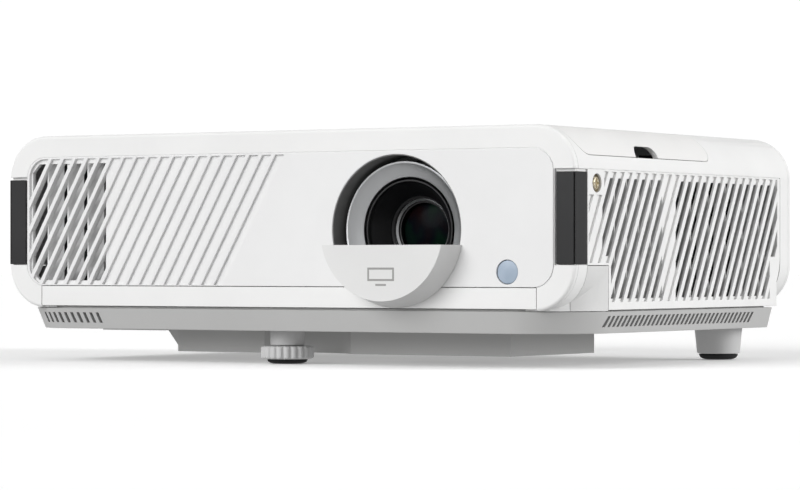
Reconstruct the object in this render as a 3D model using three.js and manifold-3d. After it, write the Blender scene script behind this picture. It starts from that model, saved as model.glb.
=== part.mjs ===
// A home projector, lying on its feet. Millimetres, +Z up, lens looking along -Y.
// The origin is the centre of the footprint, on the surface that the feet stand on.
import * as THREE from 'three';
import { mergeVertices } from 'three/addons/utils/BufferGeometryUtils.js';
import Module from 'manifold-3d';

const wasm = await Module();
wasm.setup();

// ---- Driving dimensions -------------------------------------------------------------

const HALF_WIDTH = 156;          // half the 312 mm width
const TOP = 108;                 // overall height
const FRONT = -104.5;            // face of the front panel
const BACK = 117.5;              // rear face
const NOSE = -117.5;             // face of the shroud that stands in front of the lens

const WALL = 2.4;                // moulded wall thickness
const GAP = 0.3;                 // gap between pieces that touch

const BODY_BOTTOM = 25.6;        // underside of the white body
const BODY_RADIUS = 20.7;        // corner of the body's front outline
const PLAN_RADIUS = 34;          // corner of the lower case, seen from above
// The grey lower case: its front and sides lean in towards the underside.
const TRAY = { bottom: 15.5, back: 98.7, heel: 3, sideDraft: 2.6, frontDraft: 3.3 };
const BLOCK = { left: -92.5, right: 101.7, front: -65.5, back: 14.5, low: 4.2, lean: 9,
  flange: -128.6 };
const POCKET_RADIUS = 29.7;      // recess in the block around the front foot

const PANEL = { halfWidth: 145, low: 36.2, high: 97.4, radius: 10, thick: 3.5 };
const STRIP_HALF_WIDTH = 136.3;
const BEZEL_FRONT = FRONT + 0.3;
const BEZEL_THICK = 2.7;
const LIP = 0.6;                 // thin edge of the shell around the front bezel
const PANEL_MARGIN = 1.1;        // gap between the bezel and the panel
const OPEN_HALF_WIDTH = 134;     // the body is open below, between its corners

const ACCENT = { low: 46.3, high: 87, inner: 146.3, back: -93.4, thick: 1.2 };

const GRILLE = { front: -93, back: 105.6, low: 26, high: 88.2, thick: 3, heelBack: 102 };
const CORNER = { back: -73.5, high: 45.8, inner: 118 };
const RIB_LEAN = 0.573;          // sideways run of a rib for each millimetre of height

const LID = { inner: 25.3, front: -99, back: 31.5, low: 94.7, sweep: 11, heel: 5,
  barrelRadius: 2.1 };
const LUG = { long: 1.9, halfHeight: 3, rodRadius: 0.8, boreRadius: 0.9 };
const LID_AXIS_Z = TOP - LID.barrelRadius;
const NOTCH = { y: -33.5, halfWidth: 11, rise: 5.1 };

const LENS = { x: 64.2, z: 61.9, opening: 34.1 };
const SHROUD = { backRadius: 35.2, frontRadius: 32.2, flat: 55, wall: 2.4 };
const IR = { x: 121.8, z: 42.9, radius: 5.2 };

const FOOT = { x: -8.8, y: -82.5, boss: 8, low: 8.5, high: 38, flange: 12, stud: 4, studTop: 35,
  wheelRadius: 12.5, wheelLow: 2.1, wheelHigh: 8.2, flutes: 20 };
const FOOT_PIN = { radius: 2.5, bore: 2.8, high: 3.8, boreHigh: 4.1 };
const PAD = { lowRadius: 8.9, highRadius: 9.4, frontThick: 1.8, rearThick: 2.6 };
const REAR_FOOT = { x: 134, y: 82.2, lowRadius: 10.5, highRadius: 11.6 };
const SCREW = { y: -84.2, z: 82.2, head: 3.4, shank: 1.5, cross: 2, crossHalfWidth: 0.4,
  crossDeep: 0.9, sunk: 0.2, headThick: 1.4, shankLong: 8 };

const KEYPAD = { x: -72, y: 66, width: 108, depth: 50, sink: 1, radius: 8 };
const SOCKET_BACK = BACK - 0.3;  // faces of the rear sockets

// ---- Materials -----------------------------------------------------------------------

const finish = (color, roughness, metalness = 0) =>
  new THREE.MeshStandardMaterial({ color, roughness, metalness });

const white = finish(0xf2f2f0, 0.5);
const pale = finish(0xe9e9e7, 0.5);
const lightGrey = finish(0xc9c9c9, 0.55);
const midGrey = finish(0x9a9b9d, 0.6);
const charcoal = finish(0x404144, 0.45);
const black = finish(0x161618, 0.5);
const rubber = finish(0x2c2c2e, 0.9);
const satinGrey = finish(0x8b8d90, 0.35);
const steel = finish(0xb4b6ba, 0.3, 1);
const alloy = finish(0xa7abb0, 0.4, 1);
const brass = finish(0xb08d4c, 0.35, 1);
const glass = finish(0x1d2a33, 0.05);
const windowBlue = finish(0xaebccb, 0.2);
const boardGreen = finish(0x1f5b3a, 0.6);

// ---- Solids: shapes from three.js, cut and joined by manifold-3d ---------------------

function solid(geometry) {
  const bare = geometry.clone();
  bare.deleteAttribute('normal');
  bare.deleteAttribute('uv');
  const merged = mergeVertices(bare, 1e-4);
  const index = merged.getIndex().array;
  const kept = [];
  for (let i = 0; i < index.length; i += 3) {
    const [a, b, c] = index.slice(i, i + 3);
    if (a !== b && b !== c && c !== a) kept.push(a, b, c);
  }
  const vertProperties = Float32Array.from(merged.getAttribute('position').array);
  const mesh = new wasm.Mesh({ numProp: 3, vertProperties, triVerts: Uint32Array.from(kept) });
  return new wasm.Manifold(mesh);
}

function geometryOf(body) {
  const mesh = body.getMesh();
  const geometry = new THREE.BufferGeometry();
  geometry.setAttribute('position', new THREE.BufferAttribute(mesh.vertProperties, 3));
  geometry.setIndex(new THREE.BufferAttribute(mesh.triVerts, 1));
  const flat = geometry.toNonIndexed();
  flat.computeVertexNormals();
  return flat;
}

const join = (bodies) => bodies.reduce((whole, body) => whole.add(body));

function box(x0, x1, y0, y1, z0, z1) {
  const geometry = new THREE.BoxGeometry(Math.abs(x1 - x0), y1 - y0, z1 - z0);
  geometry.translate((x0 + x1) / 2, (y0 + y1) / 2, (z0 + z1) / 2);
  return solid(geometry);
}

function roundedRect(x0, y0, x1, y1, radius) {
  const shape = new THREE.Shape();
  shape.moveTo(x0 + radius, y0);
  shape.lineTo(x1 - radius, y0);
  shape.absarc(x1 - radius, y0 + radius, radius, -Math.PI / 2, 0);
  shape.lineTo(x1, y1 - radius);
  shape.absarc(x1 - radius, y1 - radius, radius, 0, Math.PI / 2);
  shape.lineTo(x0 + radius, y1);
  shape.absarc(x0 + radius, y1 - radius, radius, Math.PI / 2, Math.PI);
  shape.lineTo(x0, y0 + radius);
  shape.absarc(x0 + radius, y0 + radius, radius, Math.PI, 1.5 * Math.PI);
  return shape;
}

const outline = (points) => new THREE.Shape(points.map(([u, v]) => new THREE.Vector2(u, v)));

function extrude(shape, depth, curveSegments = 6) {
  return new THREE.ExtrudeGeometry(shape, { depth, bevelEnabled: false, curveSegments });
}

// The shape is drawn in X and Z and runs from y0 to y1.
function extrudeY(shape, y0, y1, segments) {
  return solid(extrude(shape, y1 - y0, segments).rotateX(Math.PI / 2).translate(0, y1, 0));
}

// The shape is drawn in Y and Z and runs from x0 to x1.
function extrudeX(shape, x0, x1, segments) {
  const low = Math.min(x0, x1);
  const turn = new THREE.Matrix4().makeBasis(
    new THREE.Vector3(0, 1, 0), new THREE.Vector3(0, 0, 1), new THREE.Vector3(1, 0, 0));
  return solid(extrude(shape, Math.abs(x1 - x0), segments).applyMatrix4(turn).translate(low, 0, 0));
}

function extrudeZ(shape, z0, z1, segments) {
  return solid(extrude(shape, z1 - z0, segments).translate(0, 0, z0));
}

function rodY(radius, y0, y1, x, z, segments = 20) {
  const geometry = new THREE.CylinderGeometry(radius, radius, y1 - y0, segments);
  return solid(geometry.translate(x, (y0 + y1) / 2, z));
}

function rodX(radius, x0, x1, y, z, segments = 20) {
  const geometry = new THREE.CylinderGeometry(radius, radius, Math.abs(x1 - x0), segments);
  return solid(geometry.rotateZ(Math.PI / 2).translate((x0 + x1) / 2, y, z));
}

function rodZ(lowRadius, highRadius, z0, z1, x, y, segments = 20) {
  const geometry = new THREE.CylinderGeometry(highRadius, lowRadius, z1 - z0, segments);
  return solid(geometry.rotateX(Math.PI / 2).translate(x, y, (z0 + z1) / 2));
}

// A profile of [radius, height] points, closed on itself, turned about the Y axis.
function turned(profile, segments = 28) {
  const points = [...profile, profile[0]].map(([r, y]) => new THREE.Vector2(r, y));
  return solid(new THREE.LatheGeometry(points, segments));
}

// ---- The assembly --------------------------------------------------------------------

const projector = new THREE.Group();

function add(name, body, material, [x, y, z] = [0, 0, 0]) {
  const mesh = new THREE.Mesh(geometryOf(body), material);
  mesh.name = name;
  mesh.position.set(x, y, z);
  projector.add(mesh);
}

const SIDES = [['left', -1], ['right', 1]];
const OUTSIDE = HALF_WIDTH + 4;  // where a cutter that leaves by the side wall ends
const BELOW = BODY_BOTTOM - 6;   // where a cutter that leaves by the open underside ends

// ---- Outlines that several pieces share ----------------------------------------------

const bodyOutline = (inset) => roundedRect(
  -HALF_WIDTH + inset, BODY_BOTTOM + inset, HALF_WIDTH - inset, TOP - inset, BODY_RADIUS - inset);

const planOutline = (inset) => roundedRect(
  -HALF_WIDTH + inset, FRONT + inset, HALF_WIDTH - inset, BACK + PLAN_RADIUS, PLAN_RADIUS - inset);

// The lower front corners: the body's outline run back, filled out by upright walls
// that follow the round plan of the lower case.
function cornerWall(y0, y1) {
  const high = CORNER.high - GAP / 2;
  const filled = (inset) => extrudeY(bodyOutline(inset), y0, y1)
    .add(extrudeZ(planOutline(inset), BODY_BOTTOM, high, 8));
  const wall = filled(0).subtract(filled(WALL));
  return (side) => wall.intersect(
    box(side * CORNER.inner, side * OUTSIDE, y0, y1, BODY_BOTTOM, high));
}

// ---- Shell ---------------------------------------------------------------------------

const SHELL_FRONT = BEZEL_FRONT;
const SHELL_BACK = BACK - WALL - GAP;

const KEYS = { powerX: -42, pairX: -20, pairY: 11, padX: 14, step: 14 };

function keypadButtons() {
  const { x, y } = KEYPAD;
  const padX = x + KEYS.padX;
  const pairX = x + KEYS.pairX;
  return [
    { name: 'power', x: x + KEYS.powerX, y, radius: 6.5 },
    { name: 'source', x: pairX, y: y + KEYS.pairY, radius: 4.5 },
    { name: 'menu', x: pairX, y: y - KEYS.pairY, radius: 4.5 },
    { name: 'up', x: padX, y: y + KEYS.step, radius: 4.2 },
    { name: 'down', x: padX, y: y - KEYS.step, radius: 4.2 },
    { name: 'left', x: padX - KEYS.step, y, radius: 4.2 },
    { name: 'right', x: padX + KEYS.step, y, radius: 4.2 },
    { name: 'enter', x: padX, y, radius: 6 },
  ];
}

// The lid as seen from the side, open upwards: a wide sweep in front, a small corner behind.
function lidOutline(grow) {
  const front = LID.front - grow;
  const back = LID.back + grow;
  const low = LID.low - grow;
  const sweep = LID.sweep + grow;
  const heel = LID.heel + grow;
  const shape = new THREE.Shape();
  shape.moveTo(front, TOP + 1);
  shape.lineTo(front, low + sweep);
  shape.absarc(front + sweep, low + sweep, sweep, Math.PI, 1.5 * Math.PI);
  shape.lineTo(back - heel, low);
  shape.absarc(back - heel, low + heel, heel, 1.5 * Math.PI, 2 * Math.PI);
  shape.lineTo(back, TOP + 1);
  return shape;
}

function topCover() {
  let shell = extrudeY(bodyOutline(0), SHELL_FRONT, SHELL_BACK)
    .subtract(extrudeY(bodyOutline(WALL), SHELL_FRONT - 1, SHELL_BACK + 1));
  // The front edge thins to a lip that the bezel sits inside.
  shell = shell.subtract(
    extrudeY(bodyOutline(LIP), SHELL_FRONT - 1, SHELL_FRONT + BEZEL_THICK + GAP));
  shell = shell.subtract(box(-OPEN_HALF_WIDTH, OPEN_HALF_WIDTH, SHELL_FRONT - 1, SHELL_BACK + 1,
    BELOW, CORNER.high));
  const strip = cornerWall(SHELL_FRONT + BEZEL_THICK + GAP, GRILLE.front - GAP);
  for (const [, side] of SIDES) {
    shell = shell.add(strip(side));
    shell = shell.subtract(box(side * CORNER.inner, side * OUTSIDE, GRILLE.front - GAP,
      GRILLE.back + GAP, BELOW, GRILLE.high + GAP));
    shell = shell.subtract(accentSide(side, GAP));
  }
  // Opening for the lens lid, with a lug at each end for its hinge rod.
  const lidEdge = LID.inner - LID.barrelRadius - GAP;
  shell = shell.subtract(extrudeX(lidOutline(GAP), lidEdge, OUTSIDE));
  for (const [y0, y1] of [[LID.front - LUG.long, LID.front - GAP],
    [LID.back + GAP, LID.back + LUG.long]]) {
    shell = shell.add(box(lidEdge, LID.inner + LUG.halfHeight, y0, y1,
      LID_AXIS_Z - LUG.halfHeight, TOP - WALL));
  }
  shell = shell.subtract(rodY(LUG.boreRadius, LID.front - LUG.long, LID.back + LUG.long,
    LID.inner, LID_AXIS_Z, 12));
  // Keypad: a shallow dish with one hole for each button.
  shell = shell.subtract(extrudeZ(roundedRect(
    KEYPAD.x - KEYPAD.width / 2, KEYPAD.y - KEYPAD.depth / 2,
    KEYPAD.x + KEYPAD.width / 2, KEYPAD.y + KEYPAD.depth / 2, KEYPAD.radius),
  TOP - KEYPAD.sink, TOP + 1, 4));
  for (const { x, y, radius } of keypadButtons()) {
    shell = shell.subtract(rodZ(radius + GAP, radius + GAP, TOP - 2 * WALL, TOP, x, y, 16));
  }
  return shell;
}

function frontBezel() {
  const back = BEZEL_FRONT + BEZEL_THICK;
  const opening = roundedRect(-PANEL.halfWidth - PANEL_MARGIN, PANEL.low - PANEL_MARGIN,
    PANEL.halfWidth + PANEL_MARGIN, PANEL.high + PANEL_MARGIN, PANEL.radius + PANEL_MARGIN);
  let bezel = extrudeY(bodyOutline(LIP + GAP), BEZEL_FRONT, back);
  bezel = bezel.subtract(extrudeY(opening, BEZEL_FRONT - 1, back + 1));
  bezel = bezel.subtract(box(-STRIP_HALF_WIDTH - GAP, STRIP_HALF_WIDTH + GAP,
    BEZEL_FRONT - 1, back + 1, BELOW, PANEL.low + 1));
  for (const [, side] of SIDES) bezel = bezel.subtract(accentFront(side, GAP));
  return bezel;
}

function frontLowerStrip() {
  const strip = box(-STRIP_HALF_WIDTH, STRIP_HALF_WIDTH, BEZEL_FRONT, BEZEL_FRONT + BEZEL_THICK,
    BODY_BOTTOM, PANEL.low - GAP);
  return strip.intersect(extrudeY(bodyOutline(LIP + GAP), BEZEL_FRONT - 1, 0));
}

function accentFront(side, grow) {
  return box(side * (ACCENT.inner - grow), side * (HALF_WIDTH - LIP - GAP + grow * 2),
    BEZEL_FRONT - grow, BEZEL_FRONT + ACCENT.thick + grow, ACCENT.low - grow, ACCENT.high + grow);
}

// Thin where it takes the place of the shell's lip, thicker behind.
function accentSide(side, grow) {
  const piece = (thick, front) => box(side * (HALF_WIDTH - thick - grow),
    side * (HALF_WIDTH + grow), front - grow, ACCENT.back + grow,
    ACCENT.low - grow, ACCENT.high + grow);
  return piece(LIP, SHELL_FRONT + GAP)
    .add(piece(ACCENT.thick, SHELL_FRONT + BEZEL_THICK + 2 * GAP));
}

// Leaning slots side by side, each `width` wide and `pitch` apart, between two heights.
// `start` is the first slot's left edge at height `zero`.
function leaningSlots({ start, zero, pitch, width, count, low, high }, place) {
  const at = (edge, z) => [edge + RIB_LEAN * (z - zero), z];
  const slots = [];
  for (let i = 0; i < count; i += 1) {
    const edge = start + pitch * i;
    slots.push(place(outline([at(edge, low), at(edge + width, low),
      at(edge + width, high), at(edge, high)])));
  }
  return join(slots);
}

const FRONT_RIBS = { start: -171.63, zero: 37, pitch: 7.17, width: 4.87, count: 20,
  low: 37.4, high: 96.2 };
const LOUVRE = { x0: -142.5, x1: -98.8, low: 38.6, high: 94.5, cut: 4 };
const GROOVE_DEPTH = 0.9;

function frontPanel() {
  const back = FRONT + PANEL.thick;
  let panel = extrudeY(roundedRect(-PANEL.halfWidth, PANEL.low, PANEL.halfWidth, PANEL.high,
    PANEL.radius), FRONT, back);
  panel = panel.subtract(rodY(LENS.opening, FRONT - 1, back + 1, LENS.x, LENS.z, 48));
  panel = panel.subtract(rodY(IR.radius + GAP, FRONT - 1, back + 1, IR.x, IR.z, 20));
  const slots = leaningSlots(FRONT_RIBS, (shape) => extrudeY(shape, FRONT - 1, back + 1));
  const { x0, x1, low, high, cut } = LOUVRE;
  const hole = extrudeY(outline([[x0 + cut, low], [x1, low], [x1, high], [x0 + cut, high],
    [x0, high - cut], [x0, low + cut]]), FRONT - 2, back + 2);
  const grooves = slots.subtract(hole)
    .intersect(box(x1 + 0.6, LENS.x, FRONT - 1, FRONT + GROOVE_DEPTH, PANEL.low, PANEL.high));
  return panel.subtract(slots.intersect(hole)).subtract(grooves);
}

const SIDE_SLOTS = { start: -86.04, zero: 86.8, pitch: 7.78, width: 4.48, count: 29,
  low: 29, high: 86 };
const SIDE_WINDOW = { low: 31, high: 84.7, step: 50, frontHigh: -77.3, frontLow: -71,
  postFront: -19.1, postBack: -5, backLow: 94, backHigh: 102.6 };

function sideGrille(side) {
  const { front, back, low, high, thick, heelBack } = GRILLE;
  const x0 = side * (HALF_WIDTH - thick);
  const x1 = side * HALF_WIDTH;
  const heel = CORNER.back + GAP;
  const step = CORNER.high + GAP / 2;
  const { step: shoulder, frontHigh, frontLow, postFront, postBack, backLow, backHigh,
    ...window } = SIDE_WINDOW;
  let plate = extrudeX(outline([[back, high], [back, shoulder], [heelBack, low], [heel, low],
    [heel, step], [front, step], [front, high]]), x0, x1);
  const through = (shape) => extrudeX(shape, x0 - 1.5 * side, x1 + 1.5 * side);
  const windows = through(outline([[frontLow, window.low], [postFront, window.low],
    [postFront, window.high], [frontHigh, window.high], [frontHigh, shoulder],
    [frontLow, shoulder]]))
    .add(through(outline([[postBack, window.low], [backLow, window.low], [backLow, shoulder],
      [backHigh, shoulder], [backHigh, window.high], [postBack, window.high]])));
  plate = plate.subtract(leaningSlots(SIDE_SLOTS, through).intersect(windows));
  plate = plate.subtract(rodX(SCREW.head + 0.5, x1 - SCREW.sunk * side - (SCREW.headThick + GAP) * side,
    x1 + side, SCREW.y, SCREW.z, 20));
  return plate.subtract(rodX(SCREW.shank + GAP, x0 - side, x1, SCREW.y, SCREW.z, 12));
}

function sideScrew(side) {
  const face = side * (HALF_WIDTH - SCREW.sunk);
  const under = face - SCREW.headThick * side;
  const slot = (halfLong, halfHigh) => box(face - SCREW.crossDeep * side, face + side,
    SCREW.y - halfLong, SCREW.y + halfLong, SCREW.z - halfHigh, SCREW.z + halfHigh);
  return rodX(SCREW.head, under, face, SCREW.y, SCREW.z, 20)
    .add(rodX(SCREW.shank, under - SCREW.shankLong * side, under + SCREW.sunk * side,
      SCREW.y, SCREW.z, 12))
    .subtract(slot(SCREW.cross, SCREW.crossHalfWidth))
    .subtract(slot(SCREW.crossHalfWidth, SCREW.cross));
}

function lensLid() {
  const bar = LID.barrelRadius;
  const ring = extrudeY(bodyOutline(0), LID.front, LID.back)
    .subtract(extrudeY(bodyOutline(WALL), LID.front - 1, LID.back + 1));
  let lid = ring.intersect(extrudeX(lidOutline(0), LID.inner, OUTSIDE));
  lid = lid.add(rodY(bar, LID.front, LID.back, LID.inner, LID_AXIS_Z));
  const drop = (NOTCH.halfWidth ** 2 - NOTCH.rise ** 2) / (2 * NOTCH.rise);
  const radius = drop + NOTCH.rise;
  lid = lid.subtract(rodX(radius, HALF_WIDTH - BODY_RADIUS, OUTSIDE, NOTCH.y, LID.low - drop, 40));
  return lid.subtract(rodY(LUG.boreRadius, LID.front - 1, LID.back + 1, LID.inner, LID_AXIS_Z, 12));
}

// Rear sockets: half width, half height, centre, and the depth of the mouth.
const SOCKETS = {
  power_inlet: { x: -108, z: 52, halfWidth: 14.5, halfHeight: 10.5, mouthX: 11.5, mouthZ: 7.5,
    deep: 13, long: 24, material: black },
  hdmi_socket_1: { x: 20, z: 54.5, halfWidth: 8.2, halfHeight: 3.6, mouthX: 7, mouthZ: 2.3,
    deep: 9, long: 15, material: steel },
  hdmi_socket_2: { x: 46, z: 54.5, halfWidth: 8.2, halfHeight: 3.6, mouthX: 7, mouthZ: 2.3,
    deep: 9, long: 15, material: steel },
  usb_socket: { x: 72, z: 54.5, halfWidth: 7.4, halfHeight: 3.9, mouthX: 6.4, mouthZ: 2.6,
    deep: 10, long: 17, material: steel },
};

function socket({ x, z, halfWidth, halfHeight, mouthX, mouthZ, deep, long }) {
  return box(x - halfWidth, x + halfWidth, SOCKET_BACK - long, SOCKET_BACK,
    z - halfHeight, z + halfHeight)
    .subtract(box(x - mouthX, x + mouthX, SOCKET_BACK - deep, SOCKET_BACK + 1,
      z - mouthZ, z + mouthZ));
}

const REAR_VENTS = { first: -72, pitch: 8, width: 4, count: 8, low: 70, high: 94 };
const REAR_SHELF_FRONT = 90;     // the rear cover closes the underside up to here

function rearCover() {
  let cover = extrudeY(bodyOutline(0), BACK - WALL, BACK);
  const shelf = OPEN_HALF_WIDTH - GAP;
  cover = cover.add(box(-shelf, shelf, REAR_SHELF_FRONT, BACK - 1, BODY_BOTTOM,
    BODY_BOTTOM + WALL));
  const through = (x0, x1, z0, z1) => box(x0, x1, BACK - 2 * WALL, BACK + 1, z0, z1);
  for (const { x, z, halfWidth, halfHeight } of Object.values(SOCKETS)) {
    cover = cover.subtract(through(x - halfWidth - GAP, x + halfWidth + GAP,
      z - halfHeight - GAP, z + halfHeight + GAP));
  }
  const { first, pitch, width, count, low, high } = REAR_VENTS;
  for (let i = 0; i < count; i += 1) {
    const x = first + pitch * i;
    cover = cover.subtract(through(x, x + width, low, high));
  }
  return cover;
}

// ---- Lower case and feet -------------------------------------------------------------

// Pulls the lower end of an upright extrusion in, so its front and sides lean.
function drafted(shape, z0, z1, share = 1) {
  const geometry = extrude(shape, z1 - z0, 8).translate(0, 0, z0);
  const position = geometry.getAttribute('position');
  const narrow = 1 - share * TRAY.sideDraft / HALF_WIDTH;
  const shorten = 1 - share * TRAY.frontDraft / (TRAY.back - FRONT);
  for (let i = 0; i < position.count; i += 1) {
    if (position.getZ(i) > z0 + 0.01) continue;
    position.setX(i, position.getX(i) * narrow);
    position.setY(i, TRAY.back + (position.getY(i) - TRAY.back) * shorten);
  }
  return solid(geometry);
}

function trayOutline(inset) {
  const shape = new THREE.Shape();
  const x = HALF_WIDTH - inset;
  const front = FRONT + inset;
  const back = TRAY.back - inset;
  const radius = PLAN_RADIUS - inset;
  shape.moveTo(-x + radius, front);
  shape.lineTo(x - radius, front);
  shape.absarc(x - radius, front + radius, radius, -Math.PI / 2, 0);
  shape.lineTo(x, back - TRAY.heel);
  shape.absarc(x - TRAY.heel, back - TRAY.heel, TRAY.heel, 0, Math.PI / 2);
  shape.lineTo(-x + TRAY.heel, back);
  shape.absarc(-x + TRAY.heel, back - TRAY.heel, TRAY.heel, Math.PI / 2, Math.PI);
  shape.lineTo(-x, front + radius);
  shape.absarc(-x + radius, front + radius, radius, Math.PI, 1.5 * Math.PI);
  return shape;
}

function bottomCase() {
  const high = BODY_BOTTOM - GAP;
  const floor = TRAY.bottom + WALL;
  const wallShare = (high - floor) / (high - TRAY.bottom);
  return drafted(trayOutline(0), TRAY.bottom, high)
    .subtract(drafted(trayOutline(WALL), floor, high + 0.01, wallShare))
    .subtract(rodZ(FOOT.boss + GAP, FOOT.boss + GAP, FOOT.low, high, FOOT.x, FOOT.y));
}

// A hollow block under the case. Its left end leans out towards the top.
function baseBlock() {
  const high = TRAY.bottom - GAP;
  const { left, right, front, back, low, lean, flange } = BLOCK;
  const pocket = (radius) => rodZ(radius, radius, 0, BODY_BOTTOM, FOOT.x, FOOT.y, 48);
  const wedge = outline([[left - 1, low - 1], [left + lean, low - 1], [left + lean, low],
    [left, high], [left - 1, high]]);
  const hollow = box(left + lean + WALL, right - WALL, front + WALL, back - WALL,
    low + WALL, high + 1)
    .subtract(pocket(POCKET_RADIUS + WALL));
  return box(left, right, front, back, low, high)
    .subtract(extrudeY(wedge, front - 1, back + 1))
    .add(box(flange, left + 1, front, back, high - 1, high))
    .subtract(pocket(POCKET_RADIUS))
    .subtract(hollow);
}

function footSocket() {
  const flange = TRAY.bottom + WALL + GAP;
  const bore = FOOT.stud + GAP;
  return rodZ(FOOT.boss, FOOT.boss, FOOT.low, FOOT.high, 0, 0)
    .add(rodZ(FOOT.flange, FOOT.flange, flange, flange + WALL, 0, 0))
    .subtract(rodZ(bore, bore, 0, FOOT.high + 1, 0, 0, 16));
}

// An outline of `steps` points, with every `each`-th one set in by `depth`.
function fluted(radius, depth, steps, each) {
  const rim = [];
  for (let i = 0; i < steps; i += 1) {
    const angle = (i / steps) * 2 * Math.PI;
    const reach = i % each === each - 1 ? radius - depth : radius;
    rim.push([reach * Math.cos(angle), reach * Math.sin(angle)]);
  }
  return outline(rim);
}

function footScrew() {
  const { flutes, stud, studTop, wheelRadius, wheelLow, wheelHigh } = FOOT;
  return extrudeZ(fluted(wheelRadius, 1, flutes * 3, 3), wheelLow, wheelHigh)
    .add(rodZ(stud, stud, wheelHigh - GAP, studTop, 0, 0, 16))
    .subtract(rodZ(FOOT_PIN.bore, FOOT_PIN.bore, 0, FOOT_PIN.boreHigh, 0, 0, 12));
}

const rubberPad = (thick) => rodZ(PAD.lowRadius, PAD.highRadius, 0, thick, 0, 0, 24);

const footPad = () => rubberPad(PAD.frontThick)
  .add(rodZ(FOOT_PIN.radius, FOOT_PIN.radius, 1, FOOT_PIN.high, 0, 0, 12));

const rearFoot = () => rodZ(REAR_FOOT.lowRadius, REAR_FOOT.highRadius, PAD.rearThick + GAP,
  TRAY.bottom - GAP, 0, 0, 24);

// ---- Lens ----------------------------------------------------------------------------

function lensShroud() {
  const back = FRONT - GAP;
  const cup = (inset, y0, y1) => solid(new THREE.CylinderGeometry(
    SHROUD.backRadius - inset, SHROUD.frontRadius - inset, y1 - y0, 64)
    .translate(LENS.x, (y0 + y1) / 2, LENS.z));
  const below = (z, y0, y1) => box(0, 2 * LENS.x, y0, y1, 0, z);
  const outer = cup(0, NOSE, back).intersect(below(SHROUD.flat, NOSE - 1, 0));
  const inner = cup(SHROUD.wall, NOSE + SHROUD.wall, back + 1)
    .intersect(below(SHROUD.flat - SHROUD.wall, NOSE - 1, 0));
  return outer.subtract(inner);
}

const atLens = [LENS.x, 0, LENS.z];
const HOOD = { rim: 31, lip: 0.6, front: -97.4, back: -90, inner: 24, deep: -93.5 };
const BARREL = { radius: 22.8, edge: 0.8, front: -92.9, back: -38.3, throat: 14.6, bore: 12.6,
  seat: -80.4 };
const ELEMENT = { seat: 1.6, bulge: 2.4, long: 6, steps: 4 };

const lensHood = () => turned([[HOOD.rim - HOOD.lip, HOOD.front], [HOOD.rim, HOOD.front],
  [HOOD.rim, HOOD.back], [HOOD.inner, HOOD.back], [HOOD.inner, HOOD.deep]], 32);

const lensBarrel = () => turned([[BARREL.radius, BARREL.front], [BARREL.radius, BARREL.back],
  [BARREL.bore, BARREL.back], [BARREL.bore, BARREL.seat + 1], [BARREL.throat, BARREL.seat],
  [BARREL.radius - BARREL.edge, BARREL.front]]);

function frontGlass() {
  const radius = BARREL.bore - GAP;
  const front = BARREL.seat + ELEMENT.seat;
  const back = front + ELEMENT.long;
  const points = [];
  for (let i = 0; i <= ELEMENT.steps; i += 1) {
    const t = i / ELEMENT.steps;
    points.push(new THREE.Vector2(radius * t, front + ELEMENT.bulge * t * t));
  }
  points.push(new THREE.Vector2(radius, back), new THREE.Vector2(0, back));
  return solid(new THREE.LatheGeometry(points, 24));
}

const RING = { outer: 28.5, leverHalfWidth: 3, leverHalfThick: 2, reach: 34, knob: 4,
  knobHalfThick: 3 };

// A ring around the lens barrel with a lever standing up from it.
function leverRing(y0, y1) {
  const middle = (y0 + y1) / 2;
  const { outer, leverHalfWidth, leverHalfThick, reach, knob, knobHalfThick } = RING;
  return rodY(outer, y0, y1, 0, 0, 28)
    .add(box(-leverHalfWidth, leverHalfWidth, middle - leverHalfThick, middle + leverHalfThick,
      outer - 2, reach))
    .add(rodY(knob, middle - knobHalfThick, middle + knobHalfThick, 0, reach, 12))
    .subtract(rodY(BARREL.radius + GAP, y0 - 1, y1 + 1, 0, 0, 28));
}

const GUIDE = { offset: 36, y: -36.5, radius: 2.5, slide: 0.1, sleeve: 4.6 };
const CARRIAGE = { halfWidth: 42, halfHeight: 24, front: -38, back: -33, bore: 12 };
const DIAL = { x: 112, y: -54, z: 88, radius: 9, halfThick: 5.5, flute: 0.7, shaft: 2,
  shaftLong: 12 };
const FRAME = { left: 20, right: 110, front: -44, back: -28.4, plate: 3.1, low: 24, high: 94,
  shelf: 5 };
const FRAME_WINDOW = { left: 29, right: 100, low: 32, high: 91 };
const EAR = { left: 103, right: 106, halfDepth: 4, halfHeight: 6 };

function lensCarriage() {
  const { halfWidth, halfHeight, front, back, bore } = CARRIAGE;
  const slide = GUIDE.radius + GUIDE.slide;
  let plate = box(-halfWidth, halfWidth, front, back, -halfHeight, halfHeight);
  plate = plate.subtract(rodY(bore, front - 1, back + 1, 0, 0));
  for (const [, side] of SIDES) {
    const x = side * GUIDE.offset;
    plate = plate.add(rodZ(GUIDE.sleeve, GUIDE.sleeve, -halfHeight, halfHeight, x, GUIDE.y, 12));
    plate = plate.subtract(rodZ(slide, slide, -halfHeight - 1, halfHeight + 1, x, GUIDE.y, 12));
  }
  return plate;
}

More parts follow.
